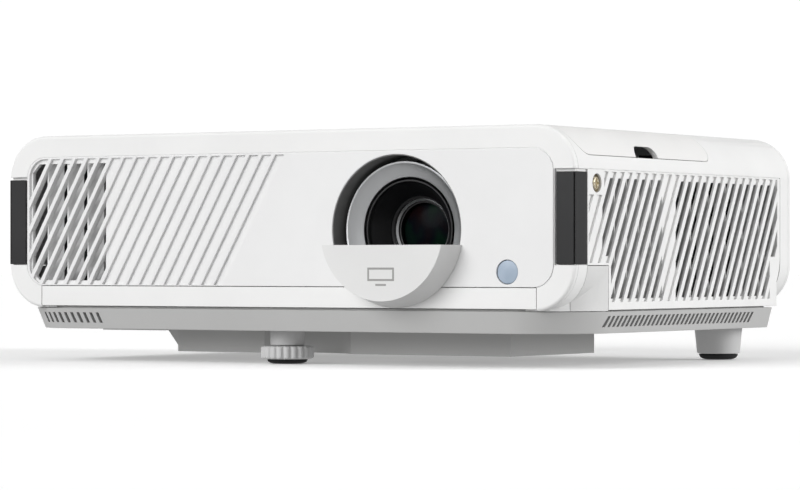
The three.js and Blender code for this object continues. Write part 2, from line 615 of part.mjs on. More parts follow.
// A back plate with a window and two shelves, and the guide rods between the shelves.
function lensFrame() {
  const { left, right, front, back, plate, low, high, shelf } = FRAME;
  let frame = join([
    box(left, right, front, back, low, low + shelf),
    box(left, right, front, back, high, high + shelf),
    box(left, right, back - plate, back, low, high + shelf),
  ]);
  frame = frame.subtract(box(FRAME_WINDOW.left, FRAME_WINDOW.right, back - plate - 1, back + 1,
    FRAME_WINDOW.low, FRAME_WINDOW.high));
  for (const [, side] of SIDES) {
    frame = frame.add(rodZ(GUIDE.radius, GUIDE.radius, low + shelf - 1, high + 1,
      LENS.x + side * GUIDE.offset, GUIDE.y, 12));
  }
  // The ear that the shift dial turns on.
  frame = frame.add(box(EAR.left, EAR.right, DIAL.y - EAR.halfDepth, front + 2,
    DIAL.z - EAR.halfHeight, high + shelf));
  const bore = DIAL.shaft + 0.1;
  return frame.subtract(rodX(bore, EAR.left - 1, EAR.right + 1, DIAL.y, DIAL.z, 12));
}

const shiftDial = () => extrudeX(fluted(DIAL.radius, DIAL.flute, 24, 2), -DIAL.halfThick,
  DIAL.halfThick).add(rodX(DIAL.shaft, -DIAL.shaftLong, 0, 0, 0, 12));

// ---- Light engine and electronics ----------------------------------------------------

const WHEEL = { x: 12, y: -14, z: 60, radius: 19, halfThick: 0.6, hub: 7, hubHalfThick: 3,
  post: 5 };
const ENGINE = { left: 36, right: 92, front: -28, back: 30, low: 36, high: 88 };
const TUNNEL = { left: 24, front: -20, back: 20, low: 50, high: 74, bore: 8, y: 8, z: 62,
  deep: 10 };
const LENS_PORT = { radius: 11, deep: 18 };

// The optical block with the light tunnel's housing, and the post for the colour wheel.
function lightEngine() {
  const { left, right, front, back, low, high } = ENGINE;
  return box(left, right, front, back, low, high)
    .add(box(TUNNEL.left, left + 4, TUNNEL.front, TUNNEL.back, TUNNEL.low, TUNNEL.high))
    .subtract(rodY(LENS_PORT.radius, front - 2, front + LENS_PORT.deep, LENS.x, LENS.z, 24))
    .subtract(rodX(TUNNEL.bore, TUNNEL.left - 4, TUNNEL.left + TUNNEL.deep, TUNNEL.y, TUNNEL.z, 16))
    .add(rodX(WHEEL.post, WHEEL.x + WHEEL.hubHalfThick + GAP, TUNNEL.left + 2,
      WHEEL.y, WHEEL.z, 16));
}

const SINK = { left: 38, right: 92, base: 3.7, back: 56, low: 40, high: 84, fins: 9, pitch: 6.5,
  thick: 2 };

function heatsink() {
  const front = ENGINE.back + GAP;
  const root = front + SINK.base;
  const pieces = [box(SINK.left, SINK.right, front, root, SINK.low, SINK.high)];
  for (let i = 0; i < SINK.fins; i += 1) {
    const x = SINK.left + SINK.pitch * i;
    pieces.push(box(x, x + SINK.thick, root - 1, SINK.back, SINK.low, SINK.high));
  }
  return join(pieces);
}

const LAMP = { left: -52, right: 4, front: -30, back: 34, low: 34, high: 88, y: 4, z: 61,
  bowl: 22, bowlLeft: -30, burner: 5, burnerLeft: -45, burnerRight: -8 };

// A housing with a round bowl open towards the colour wheel, and the burner along its axis.
function lampModule() {
  const { left, right, front, back, low, high, y, z } = LAMP;
  return box(left, right, front, back, low, high)
    .subtract(rodX(LAMP.bowl, LAMP.bowlLeft, right + 2, y, z, 28))
    .add(rodX(LAMP.burner, LAMP.burnerLeft, LAMP.burnerRight, y, z, 16));
}

const colourWheel = () => rodX(WHEEL.radius, -WHEEL.halfThick, WHEEL.halfThick, 0, 0, 28)
  .add(rodX(WHEEL.hub, -WHEEL.hubHalfThick, WHEEL.hubHalfThick, 0, 0, 16));

const FAN = { half: 35, halfDepth: 7.5, bore: 32.5, hub: 12.5, strutHalf: 2, strutFront: 5.5,
  spider: 4 };
const ROTOR = { front: -6.5, back: 4.5, blades: 7, bladeLong: 20, bladeThick: 1.2,
  bladeDeep: 10.5, pitchAngle: 0.75, middle: 21, tip: 31.6 };

// A square frame with a hub held on four struts.
function fanFrame() {
  const { half, halfDepth, bore, hub, strutHalf, strutFront, spider } = FAN;
  const spokes = join([
    rodY(hub, spider + GAP * 3, halfDepth, 0, 0),
    box(-half + 1, half - 1, strutFront, halfDepth, -strutHalf, strutHalf),
    box(-strutHalf, strutHalf, strutFront, halfDepth, -half + 1, half - 1),
  ]);
  return box(-half, half, -halfDepth, halfDepth, -half, half)
    .subtract(rodY(bore, -halfDepth - 1, halfDepth + 1, 0, 0, 28).subtract(spokes));
}

function fanRotor() {
  const blades = [];
  for (let i = 0; i < ROTOR.blades; i += 1) {
    const blade = new THREE.BoxGeometry(ROTOR.bladeLong, ROTOR.bladeThick, ROTOR.bladeDeep);
    blade.rotateX(ROTOR.pitchAngle).translate(ROTOR.middle, 0, 0)
      .rotateY((i / ROTOR.blades) * 2 * Math.PI);
    blades.push(solid(blade));
  }
  return join([rodY(FAN.hub, ROTOR.front, ROTOR.back, 0, 0), ...blades])
    .intersect(rodY(ROTOR.tip, ROTOR.front - 1, ROTOR.back + 1, 0, 0, 28));
}

const BOARD_THICK = 1.6;
const MAIN_BOARD = { left: -38, right: 128, front: 62, back: 112, low: 48 };
const CHIP = { left: 96, right: 118, front: 72, back: 94, high: 53 };

function mainBoard() {
  const { left, right, front, back, low } = MAIN_BOARD;
  return box(left, right, front, back, low, low + BOARD_THICK)
    .add(box(CHIP.left, CHIP.right, CHIP.front, CHIP.back, low + 1, CHIP.high));
}

const SUPPLY = { left: -144, right: -62, front: -55, back: 92, low: 21, thick: 2 };

// A board with a transformer, a heatsink, a large capacitor and a filter coil on it.
function powerSupply() {
  const { left, right, front, back, low, thick } = SUPPLY;
  const root = low + thick - 1;
  return join([
    box(left, right, front, back, low, low + thick),
    box(-138, -100, -45, 10, root, 50),
    box(-94, -70, -40, 0, root, 44),
    rodZ(11, 11, root, 52, -120, 35, 20),
    box(-96, -68, 20, 70, root, 42),
  ]);
}

const SPEAKER = { left: -140, right: -116, front: 15, back: 88, low: 62, high: 94,
  cone: 13, coneDeep: 4, y: 34 };

function speaker() {
  const { left, right, front, back, low, high } = SPEAKER;
  return box(left, right, front, back, low, high).subtract(
    rodX(SPEAKER.cone, left - 2, left + SPEAKER.coneDeep, SPEAKER.y, (low + high) / 2, 24));
}

const KEY = { flange: 1.2, long: 3, flangeThick: 1 };
const KEYPAD_BOARD = { margin: 2, sideMargin: 1, high: 102 };

function keypadBoard() {
  const halfWidth = KEYPAD.width / 2 - KEYPAD_BOARD.margin;
  const halfDepth = KEYPAD.depth / 2 - KEYPAD_BOARD.sideMargin;
  return box(KEYPAD.x - halfWidth, KEYPAD.x + halfWidth, KEYPAD.y - halfDepth,
    KEYPAD.y + halfDepth, KEYPAD_BOARD.high - BOARD_THICK, KEYPAD_BOARD.high);
}

const button = (radius) => rodZ(radius, radius, -KEY.long, 0, 0, 0, 16)
  .add(rodZ(radius + KEY.flange, radius + KEY.flange, -WALL - GAP - KEY.flangeThick, -WALL - GAP,
    0, 0, 16));

// ---- Build ---------------------------------------------------------------------------

add('top_cover', topCover(), white);
add('front_bezel', frontBezel(), white);
add('front_panel', frontPanel(), white);
add('front_lower_strip', frontLowerStrip(), white);
add('rear_cover', rearCover(), white);
add('bottom_case', bottomCase(), lightGrey);
add('base_block', baseBlock(), midGrey);

const corner = cornerWall(GRILLE.front, CORNER.back);
for (const [name, side] of SIDES) {
  add(`front_corner_${name}`, corner(side), pale);
  add(`side_grille_${name}`, sideGrille(side), white);
  add(`accent_front_${name}`, accentFront(side, 0), charcoal);
  add(`accent_side_${name}`, accentSide(side, 0), charcoal);
  add(`side_screw_${name}`, sideScrew(side), brass);
  add(`rear_foot_${name}`, rearFoot(), lightGrey, [side * REAR_FOOT.x, REAR_FOOT.y, 0]);
  add(`rear_pad_${name}`, rubberPad(PAD.rearThick), rubber, [side * REAR_FOOT.x, REAR_FOOT.y, 0]);
}

const atFoot = [FOOT.x, FOOT.y, 0];
add('foot_socket', footSocket(), lightGrey, atFoot);
add('foot_screw', footScrew(), lightGrey, atFoot);
add('foot_pad', footPad(), rubber, atFoot);

add('lens_lid', lensLid(), pale);
const rodReach = LUG.long - GAP;
add('lid_hinge_rod', rodY(LUG.rodRadius, LID.front - rodReach, LID.back + rodReach, 0, 0, 12),
  steel, [LID.inner, 0, LID_AXIS_Z]);
add('lens_shroud', lensShroud(), pale);
add('ir_window', rodY(IR.radius, FRONT + GAP, FRONT + PANEL.thick - GAP, 0, 0, 24), windowBlue,
  [IR.x, 0, IR.z]);

add('lens_frame', lensFrame(), alloy);
add('lens_carriage', lensCarriage(), black, atLens);
add('lens_barrel', lensBarrel(), black, atLens);
add('lens_hood', lensHood(), satinGrey, atLens);
add('front_glass', frontGlass(), glass, atLens);
add('focus_ring', leverRing(-84, -73), black, atLens);
add('zoom_ring', leverRing(-62, -51), black, atLens);
add('shift_dial', shiftDial(), charcoal, [DIAL.x, DIAL.y, DIAL.z]);

add('light_engine', lightEngine(), alloy);
add('engine_heatsink', heatsink(), alloy);
add('lamp_module', lampModule(), black);
add('colour_wheel', colourWheel(), steel, [WHEEL.x, WHEEL.y, WHEEL.z]);
add('main_board', mainBoard(), boardGreen);
add('power_supply', powerSupply(), boardGreen);
add('speaker', speaker(), black);
add('keypad_board', keypadBoard(), boardGreen);

// The exhaust fan stands behind the front louvre, the intake fan inside the right grille.
const fans = { exhaust: new THREE.Group(), intake: new THREE.Group() };
fans.exhaust.position.set(-107, -82.5, 65);
fans.intake.position.set(140.5, 35, 62);
fans.intake.rotation.z = -Math.PI / 2;
for (const [name, fan] of Object.entries(fans)) {
  projector.add(fan);
  for (const [piece, body] of [['frame', fanFrame()], ['rotor', fanRotor()]]) {
    const mesh = new THREE.Mesh(geometryOf(body), black);
    mesh.name = `${name}_fan_${piece}`;
    fan.add(mesh);
  }
}

for (const [name, size] of Object.entries(SOCKETS)) add(name, socket(size), size.material);

for (const { name, x, y, radius } of keypadButtons()) {
  add(`${name}_button`, button(radius), lightGrey, [x, y, TOP]);
}

export default projector;
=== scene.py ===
import math

import bmesh
import bpy
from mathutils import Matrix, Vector


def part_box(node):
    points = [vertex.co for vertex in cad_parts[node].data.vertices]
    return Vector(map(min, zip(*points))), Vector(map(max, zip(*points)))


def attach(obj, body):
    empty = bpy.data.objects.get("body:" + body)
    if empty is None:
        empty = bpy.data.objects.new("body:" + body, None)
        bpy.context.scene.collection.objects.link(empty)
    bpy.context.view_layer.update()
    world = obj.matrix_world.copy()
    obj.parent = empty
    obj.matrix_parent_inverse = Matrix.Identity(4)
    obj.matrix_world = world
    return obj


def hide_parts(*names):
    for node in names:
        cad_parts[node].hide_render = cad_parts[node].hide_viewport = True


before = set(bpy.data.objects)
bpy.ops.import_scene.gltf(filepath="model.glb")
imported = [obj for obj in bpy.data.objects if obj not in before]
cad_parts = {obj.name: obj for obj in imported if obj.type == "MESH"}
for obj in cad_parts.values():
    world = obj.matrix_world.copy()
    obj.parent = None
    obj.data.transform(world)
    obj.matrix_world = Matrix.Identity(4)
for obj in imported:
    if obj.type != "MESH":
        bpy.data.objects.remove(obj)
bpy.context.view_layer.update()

# A home projector: detailed shells, lens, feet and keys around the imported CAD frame.
# Lengths are millimetres in the CAD frame, and meshes are scaled to metres when made. The
# stage (camera, floor and backdrop) is in metres.
MM = 0.001
SIDES = (("left", -1), ("right", 1))


# ---- Measures taken from the frame ---------------------------------------------------

def corners(node):
    """Lowest and highest corner of a CAD node, in millimetres."""
    low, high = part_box(node)
    return [v / MM for v in low], [v / MM for v in high]


def centre(node):
    low, high = corners(node)
    return [(a + b) / 2 for a, b in zip(low, high)]


SHELL_LOW, SHELL_HIGH = corners("top_cover")
PANEL_LOW, PANEL_HIGH = corners("front_panel")
LID_LOW, LID_HIGH = corners("lens_lid")
GRILLE_LOW, GRILLE_HIGH = corners("side_grille_right")
TRAY_LOW, TRAY_HIGH = corners("bottom_case")
BLOCK_LOW, BLOCK_HIGH = corners("base_block")
REAR_LOW, REAR_HIGH = corners("rear_cover")

HALF_WIDTH = SHELL_HIGH[0]
TOP = SHELL_HIGH[2]
BODY_BOTTOM = SHELL_LOW[2]
SHELL_FRONT = SHELL_LOW[1]
SHELL_BACK = SHELL_HIGH[1]
FRONT = PANEL_LOW[1]
LENS_X, LENS_Z = centre("lens_hood")[::2]

WALL = 2.4
GAP = 0.3
BODY_RADIUS = 20.7
PLAN_RADIUS = 34
PLAN_BACK = 200
PANEL_RADIUS = 10
LENS_OPENING = 34.1
LAYER_GAP = 0.02
RECEIVER_HOLE = 5.5
RIB_LEAN = 0.573
SIDE_DRAFT = 2.6
FRONT_DRAFT = 3.3
BLOCK_LEAN = 9
BLOCK_TOP_LEFT = -92.5
STRIP_END = corners("front_lower_strip")[1][0]
BEZEL_BACK = corners("front_bezel")[1][1]


# ---- Mesh tools ----------------------------------------------------------------------

PLACE = {
    "x": lambda u, v, w: (w, u, v),
    "y": lambda u, v, w: (u, w, v),
    "z": lambda u, v, w: (u, v, w),
}


def arc(cx, cy, radius, start, end, steps):
    """Points on an arc, angles in degrees."""
    turn = [math.radians(start + (end - start) * i / steps) for i in range(steps + 1)]
    return [(cx + radius * math.cos(a), cy + radius * math.sin(a)) for a in turn]


def rounded(x0, y0, x1, y1, radius, steps=12):
    return (arc(x1 - radius, y0 + radius, radius, -90, 0, steps)
            + arc(x1 - radius, y1 - radius, radius, 0, 90, steps)
            + arc(x0 + radius, y1 - radius, radius, 90, 180, steps)
            + arc(x0 + radius, y0 + radius, radius, 180, 270, steps))


def circle(cx, cy, radius, steps=64):
    return arc(cx, cy, radius, 0, 360 * (steps - 1) / steps, steps - 1)


def rectangle(x0, y0, x1, y1):
    return [(x0, y0), (x1, y0), (x1, y1), (x0, y1)]


def body_outline(inset=0.0):
    return rounded(-HALF_WIDTH + inset, BODY_BOTTOM + inset, HALF_WIDTH - inset, TOP - inset,
                   BODY_RADIUS - inset, 18)


def plan_outline(inset=0.0):
    return rounded(-HALF_WIDTH + inset, FRONT + inset, HALF_WIDTH - inset, PLAN_BACK,
                   PLAN_RADIUS - inset, 18)


def panel_outline(grow=0.0):
    return rounded(PANEL_LOW[0] - grow, PANEL_LOW[2] - grow, PANEL_HIGH[0] + grow,
                   PANEL_HIGH[2] + grow, PANEL_RADIUS + grow, 14)


def new_object(name, mesh):
    obj = bpy.data.objects.new(name, mesh)
    bpy.context.collection.objects.link(obj)
    return obj


def object_from(name, bm):
    bmesh.ops.remove_doubles(bm, verts=bm.verts, dist=0.0005)
    bmesh.ops.recalc_face_normals(bm, faces=bm.faces)
    bmesh.ops.scale(bm, vec=(MM, MM, MM), verts=bm.verts)
    mesh = bpy.data.meshes.new(name)
    bm.to_mesh(mesh)
    bm.free()
    return new_object(name, mesh)


def add_prism(bm, outline, low, high, axis="y", holes=()):
    place = PLACE[axis]
    edges = []
    for loop in (outline, *holes):
        verts = [bm.verts.new(place(u, v, low)) for u, v in loop]
        edges += [bm.edges.new(pair) for pair in zip(verts, verts[1:] + verts[:1])]
    fill = bmesh.ops.triangle_fill(bm, use_beauty=True, use_dissolve=True, edges=edges)
    faces = [g for g in fill["geom"] if isinstance(g, bmesh.types.BMFace)]
    grown = bmesh.ops.extrude_face_region(bm, geom=faces, use_keep_orig=True)
    moved = [g for g in grown["geom"] if isinstance(g, bmesh.types.BMVert)]
    bmesh.ops.translate(bm, vec=Vector(place(0, 0, high - low)), verts=moved)


def prism(name, outline, low, high, axis="y", holes=()):
    bm = bmesh.new()
    add_prism(bm, outline, low, high, axis, holes)
    return object_from(name, bm)


def prisms(name, outlines, low, high, axis="y"):
    bm = bmesh.new()
    for outline in outlines:
        add_prism(bm, outline, low, high, axis)
    return object_from(name, bm)


def block(name, x0, x1, y0, y1, z0, z1):
    x0, x1 = sorted((x0, x1))
    return prism(name, rectangle(x0, y0, x1, y1), z0, z1, "z")


def add_lathe(bm, profile, centre_at, axis="y", steps=96, closed=True, flute=None):
    """Turns (radius, height) points about an axis; flute(angle, radius) gives a new radius."""
    cu, cv = centre_at
    place = PLACE[axis]
    rings = []
    for radius, height in profile:
        ring = []
        for i in range(steps):
            a = 2 * math.pi * i / steps
            r = flute(a, radius) if flute else radius
            ring.append(bm.verts.new(place(cu + r * math.cos(a), cv + r * math.sin(a), height)))
        rings.append(ring)
    pairs = list(zip(rings, rings[1:])) + ([(rings[-1], rings[0])] if closed else [])
    for lower, upper in pairs:
        for i in range(steps):
            j = (i + 1) % steps
            bm.faces.new((lower[i], lower[j], upper[j], upper[i]))


def lathe(name, profile, centre_at, axis="y", steps=96, closed=True, flute=None):
    bm = bmesh.new()
    add_lathe(bm, profile, centre_at, axis, steps, closed, flute)
    return object_from(name, bm)


def bake(obj):
    """Applies an object's modifiers to its own mesh."""
    bpy.context.view_layer.update()
    graph = bpy.context.evaluated_depsgraph_get()
    mesh = bpy.data.meshes.new_from_object(obj.evaluated_get(graph))
    old = obj.data
    obj.modifiers.clear()
    obj.data = mesh
    bpy.data.meshes.remove(old)
    return obj


def combine(obj, other, operation):
    step = obj.modifiers.new(operation.lower(), "BOOLEAN")
    step.operation = operation
    step.solver = "EXACT"
    step.object = other
    bake(obj)
    spare = other.data
    bpy.data.objects.remove(other)
    bpy.data.meshes.remove(spare)
    return obj


def cut(obj, *cutters):
    for cutter in cutters:
        combine(obj, cutter, "DIFFERENCE")
    return obj


def join(obj, *others):
    for other in others:
        combine(obj, other, "UNION")
    return obj


def within(obj, other):
    return combine(obj, other, "INTERSECT")


def soften(obj, width=0.4, segments=2, angle=35):
    """Rounds the edges and shades the piece smooth, with its flat faces kept flat."""
    if width:
        step = obj.modifiers.new("edges", "BEVEL")
        step.width = width * MM
        step.segments = segments
        step.limit_method = "ANGLE"
        step.angle_limit = math.radians(angle)
        step.miter_outer = "MITER_ARC"
        step.use_clamp_overlap = True
    bake(obj)
    obj.data.shade_smooth()
    obj.data.set_sharp_from_angle(angle=math.radians(42))
    normals = obj.modifiers.new("normals", "WEIGHTED_NORMAL")
    normals.keep_sharp = True
    return obj


# ---- Materials -----------------------------------------------------------------------

def shader(name, colour, roughness, metallic=0.0, specular=0.5, coat=0.0):
    material = bpy.data.materials.new(name)
    material.use_nodes = True
    surface = material.node_tree.nodes["Principled BSDF"]
    surface.inputs["Base Color"].default_value = (*colour, 1)
    surface.inputs["Roughness"].default_value = roughness
    surface.inputs["Metallic"].default_value = metallic
    surface.inputs["Specular IOR Level"].default_value = specular
    surface.inputs["Coat Weight"].default_value = coat
    return material, surface


def noise(material, scale, detail=3.0, rough=0.55, stretch=(1, 1, 1)):
    nodes, links = material.node_tree.nodes, material.node_tree.links
    place = nodes.new("ShaderNodeTexCoord")
    sizing = nodes.new("ShaderNodeMapping")
    sizing.inputs["Scale"].default_value = stretch
    texture = nodes.new("ShaderNodeTexNoise")
    texture.inputs["Scale"].default_value = scale
    texture.inputs["Detail"].default_value = detail
    texture.inputs["Roughness"].default_value = rough
    links.new(place.outputs["Object"], sizing.inputs["Vector"])
    links.new(sizing.outputs["Vector"], texture.inputs["Vector"])
    return texture


def vary_colour(material, surface, texture, dark, light):
    nodes, links = material.node_tree.nodes, material.node_tree.links
    ramp = nodes.new("ShaderNodeValToRGB")
    ramp.color_ramp.elements[0].position = 0.3
    ramp.color_ramp.elements[0].color = (*dark, 1)
    ramp.color_ramp.elements[1].position = 0.7
    ramp.color_ramp.elements[1].color = (*light, 1)
    links.new(texture.outputs["Fac"], ramp.inputs["Fac"])
    links.new(ramp.outputs["Color"], surface.inputs["Base Color"])


def vary_roughness(material, surface, texture, low, high):
    nodes, links = material.node_tree.nodes, material.node_tree.links
    span = nodes.new("ShaderNodeMapRange")
    span.inputs["From Min"].default_value = 0.3
    span.inputs["From Max"].default_value = 0.7
    span.inputs["To Min"].default_value = low
    span.inputs["To Max"].default_value = high
    links.new(texture.outputs["Fac"], span.inputs["Value"])
    links.new(span.outputs["Result"], surface.inputs["Roughness"])


def bump(material, surface, texture, strength, distance):
    nodes, links = material.node_tree.nodes, material.node_tree.links
    relief = nodes.new("ShaderNodeBump")
    relief.inputs["Strength"].default_value = strength
    relief.inputs["Distance"].default_value = distance * MM
    links.new(texture.outputs["Fac"], relief.inputs["Height"])
    links.new(relief.outputs["Normal"], surface.inputs["Normal"])


def scaled(colour, factor):
    return tuple(min(1.0, c * factor) for c in colour)


def plastic(name, colour, roughness=0.5, grain=1400.0, relief=0.05, spread=0.025, specular=0.4):
    """Moulded plastic: spark-eroded grain, soft mottling and slightly uneven sheen."""
    material, surface = shader(name, colour, roughness, specular=specular)
    mottle = noise(material, 22.0, 4.0)
    vary_colour(material, surface, mottle, scaled(colour, 1 - spread), scaled(colour, 1 + spread))
    vary_roughness(material, surface, noise(material, 90.0), roughness - 0.05, roughness + 0.06)
    bump(material, surface, noise(material, grain, 2.0), 0.35, relief)
    return material


def metal(name, colour, roughness=0.3, stretch=(1, 1, 1), relief=0.02, spread=0.1):
    """Bare metal with fine tool marks and uneven polish."""
    material, surface = shader(name, colour, roughness, metallic=1.0)
    marks = noise(material, 600.0, 3.0, stretch=stretch)
    vary_colour(material, surface, noise(material, 60.0), scaled(colour, 1 - spread),
                scaled(colour, 1 + spread))
    vary_roughness(material, surface, marks, roughness - spread, roughness + spread)
    bump(material, surface, marks, 0.3, relief)
    return material


WHITE = plastic("white_shell", (0.86, 0.86, 0.855), 0.48)
FASCIA_WHITE = plastic("white_fascia", (0.83, 0.83, 0.83), 0.5)
LID_WHITE = plastic("warm_white_lid", (0.86, 0.855, 0.845), 0.46)
# Greyer white for the lower front corners: painted shade for their curve turning down and away from
# the light.
SHADED_CORNER_WHITE = plastic("white_corner_painted_shade", (0.7, 0.7, 0.695), 0.5)
SHROUD_WHITE = plastic("pale_shroud", (0.76, 0.76, 0.755), 0.42)
CASE_GREY = plastic("light_grey_case", (0.52, 0.52, 0.515), 0.5)
FOOT_GREY = plastic("light_grey_foot", (0.58, 0.58, 0.58), 0.5)
BLOCK_GREY = plastic("mid_grey_block", (0.5, 0.5, 0.495), 0.55)
CHARCOAL = plastic("charcoal_accent", (0.024, 0.024, 0.025), 0.42, spread=0.12, specular=0.25)
RUBBER = plastic("black_rubber", (0.02, 0.02, 0.021), 0.8, 900, 0.12, 0.3, 0.25)
LENS_BLACK = plastic("lens_black", (0.006, 0.006, 0.007), 0.38, spread=0.3)
DARK = plastic("black_plastic", (0.014, 0.014, 0.016), 0.5, spread=0.25)
TUNNEL = plastic("dark_tunnel", (0.2, 0.2, 0.2), 0.42, spread=0.15)
# Grey for the side grilles' inner fins: painted shade for the dark inside of the grille.
FIN_SHADE_GREY = plastic("grey_fins_painted_shade", (0.6, 0.6, 0.6), 0.5)
IO_GREY = plastic("dark_grey_plate", (0.09, 0.092, 0.097), 0.5, spread=0.1)
KEY_GREY = plastic("key_grey", (0.5, 0.5, 0.51), 0.42)
PRINT_GREY = plastic("print_grey", (0.34, 0.34, 0.33), 0.5, spread=0.1)
BOARD = plastic("solder_mask", (0.012, 0.09, 0.04), 0.35, spread=0.3)
SATIN = metal("satin_ring", (0.66, 0.67, 0.68), 0.4, relief=0.002, spread=0.03)
STEEL = metal("bright_steel", (0.55, 0.56, 0.58), 0.25, (1, 12, 1))
ALLOY = metal("cast_alloy", (0.42, 0.43, 0.45), 0.5, relief=0.08)
BRASS = metal("brass_screw", (0.78, 0.7, 0.52), 0.3)
# Near-black brass ring: painted shade for the recess round each side screw's head.
RECESS_SHADE_BRASS = metal("brass_painted_recess_shade", (0.16, 0.13, 0.08), 0.4)


def lens_glass():
    """Coated glass: near-black, with faint green, blue and red coating reflections painted into its
    colour as a soft cloud.
    """
    material, surface = shader("coated_glass_painted_reflections", (0.004, 0.006, 0.006), 0.22, specular=0.02)
    nodes, links = material.node_tree.nodes, material.node_tree.links
    texture = noise(material, 55.0, 2.0, stretch=(1, 1, 0.6))
    ramp = nodes.new("ShaderNodeValToRGB")
    stops = ((0.3, (0.002, 0.003, 0.004)), (0.47, (0.003, 0.012, 0.007)),
             (0.56, (0.003, 0.004, 0.006)), (0.7, (0.009, 0.003, 0.003)))
    for _ in stops[2:]:
        ramp.color_ramp.elements.new(0.5)
    for element, (position, colour) in zip(ramp.color_ramp.elements, stops):
        element.position = position
        element.color = (*colour, 1)
    links.new(texture.outputs["Fac"], ramp.inputs["Fac"])
    links.new(ramp.outputs["Color"], surface.inputs["Base Color"])
    return material


def window_blue():
    """The infrared window: satin pale blue-grey with a faint cloud."""
    material, surface = shader("receiver_blue", (0.42, 0.5, 0.6), 0.32, specular=0.3)
    cloud = noise(material, 120.0, 2.0)
    vary_colour(material, surface, cloud, (0.36, 0.44, 0.54), (0.44, 0.52, 0.62))
    return material


LENS_GLASS = lens_glass()
RECEIVER = window_blue()


def install(piece, body, slot, material, *nodes):
    """Gives a piece its material and body, and hides the CAD nodes that it stands for. The slot is not
    used.
    """
    piece.data.materials.clear()
    piece.data.materials.append(material)
    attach(piece, body)
    if nodes:
        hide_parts(*nodes)
    return piece


# ---- Camera, floor and light ---------------------------------------------------------

CAMERA_AT = (0.8429, -1.3701, 0.0471)
CAMERA_HEADING = 31.53
CAMERA_LENS = 148.46
CAMERA_SHIFT = 0.02195
SENSOR_WIDTH = 36
VIEW_END = 50
FLOOR_HALF = 12
FLOOR_DROP = 0.0002
FLOOR_GLOW = 0.17
DOME_RADIUS = 11
SKY = ((0.0, 0.46), (0.45, 0.47))


def make_camera():
    camera_data = bpy.data.cameras.new("camera")
    camera = new_object("camera", camera_data)
    camera.location = CAMERA_AT
    camera.rotation_euler = (math.radians(90), 0, math.radians(CAMERA_HEADING))
    camera_data.lens = CAMERA_LENS
    camera_data.sensor_width = SENSOR_WIDTH
    camera_data.shift_y = CAMERA_SHIFT
    camera_data.clip_end = VIEW_END
    camera_data.dof.use_dof = False
    bpy.context.scene.camera = camera


def make_floor():
    bm = bmesh.new()
    bmesh.ops.create_grid(bm, x_segments=2, y_segments=2, size=FLOOR_HALF)
    mesh = bpy.data.meshes.new("floor")
    bm.to_mesh(mesh)
    bm.free()
    floor = new_object("floor", mesh)
    floor.location = (0, 0, -FLOOR_DROP)
    material, surface = shader("pale_floor", (0.95, 0.95, 0.95), 0.9, specular=0.1)
    vary_colour(material, surface, noise(material, 3.0), (0.94, 0.94, 0.94), (0.96, 0.96, 0.96))
    surface.inputs["Emission Color"].default_value = (1, 1, 1, 1)
    surface.inputs["Emission Strength"].default_value = FLOOR_GLOW
    floor.data.materials.append(material)
    floor.visible_diffuse = False
    floor.visible_glossy = False


def make_backdrop():
    """A white paper dome, seen by the camera only; it lights nothing."""
    bm = bmesh.new()
    bmesh.ops.create_icosphere(bm, subdivisions=5, radius=DOME_RADIUS)
    mesh = bpy.data.meshes.new("backdrop")
    bm.to_mesh(mesh)
    bm.free()
    dome = new_object("backdrop", mesh)
    for rays in ("diffuse", "glossy", "transmission", "shadow"):
        setattr(dome, f"visible_{rays}", False)
    paper = bpy.data.materials.new("backdrop_white")
    paper.use_nodes = True
    glow = paper.node_tree.nodes["Principled BSDF"]
    glow.inputs["Base Color"].default_value = (0, 0, 0, 1)
    glow.inputs["Emission Color"].default_value = (1, 1, 1, 1)
    glow.inputs["Emission Strength"].default_value = 1.0
    dome.data.materials.append(paper)


def make_sky():
    world = bpy.data.worlds.new("studio")
    bpy.context.scene.world = world
    world.use_nodes = True
    nodes, links = world.node_tree.nodes, world.node_tree.links
    direction = nodes.new("ShaderNodeTexCoord")
    height = nodes.new("ShaderNodeSeparateXYZ")
    ramp = nodes.new("ShaderNodeValToRGB")
    for element, (position, level) in zip(ramp.color_ramp.elements, SKY):
        element.position = position
        element.color = (level, level, level, 1)
    links.new(direction.outputs["Generated"], height.inputs["Vector"])
    links.new(height.outputs["Z"], ramp.inputs["Fac"])
    links.new(ramp.outputs["Color"], nodes["Background"].inputs["Color"])
    bpy.context.scene.view_settings.view_transform = "Standard"


def soft_sun(name, towards, strength, spread):
    """A distant soft box: it stands in the direction given, `spread` degrees wide."""
    data = bpy.data.lights.new(name, "SUN")
    data.energy = strength
    data.angle = math.radians(spread)
    lamp = new_object(name, data)
    lamp.rotation_euler = Vector(towards).to_track_quat("Z", "Y").to_euler()


make_camera()
make_floor()
make_backdrop()
make_sky()
soft_sun("front_key", (-0.32, -0.87, 0.42), 1.92, 40)
soft_sun("side_key", (0.9, 0.36, 0.28), 1.95, 30)


# ---- Shell ---------------------------------------------------------------------------

def corner_solid(y0, y1, z1, inset, over=0.0):
    """The body's outline run back, filled out at the bottom by the lower case's plan."""
    run = prism("run", body_outline(inset), y0 - over, y1 + over)
    fill = prism("fill", plan_outline(inset), BODY_BOTTOM - over, z1 + over, "z")
    return join(run, fill)


def corner_wall(name, side, y0, y1, z1):
    wall = cut(corner_solid(y0, y1, z1, 0), corner_solid(y0, y1, z1, WALL, 3.0))
    wall.name = name
    return within(wall, block("keep", side * 118, side * 160, y0, y1, BODY_BOTTOM, z1))


def lid_outline(grow):
    """The lid as the side view shows it: open upwards, with round lower corners."""
    front, back, low = LID_LOW[1] - grow, LID_HIGH[1] + grow, LID_LOW[2] - grow
    sweep, heel = 11 + grow, 5 + grow
    return ([(front, TOP + 12)] + arc(front + sweep, low + sweep, sweep, 180, 270, 12)
            + arc(back - heel, low + heel, heel, 270, 360, 8) + [(back, TOP + 12)])


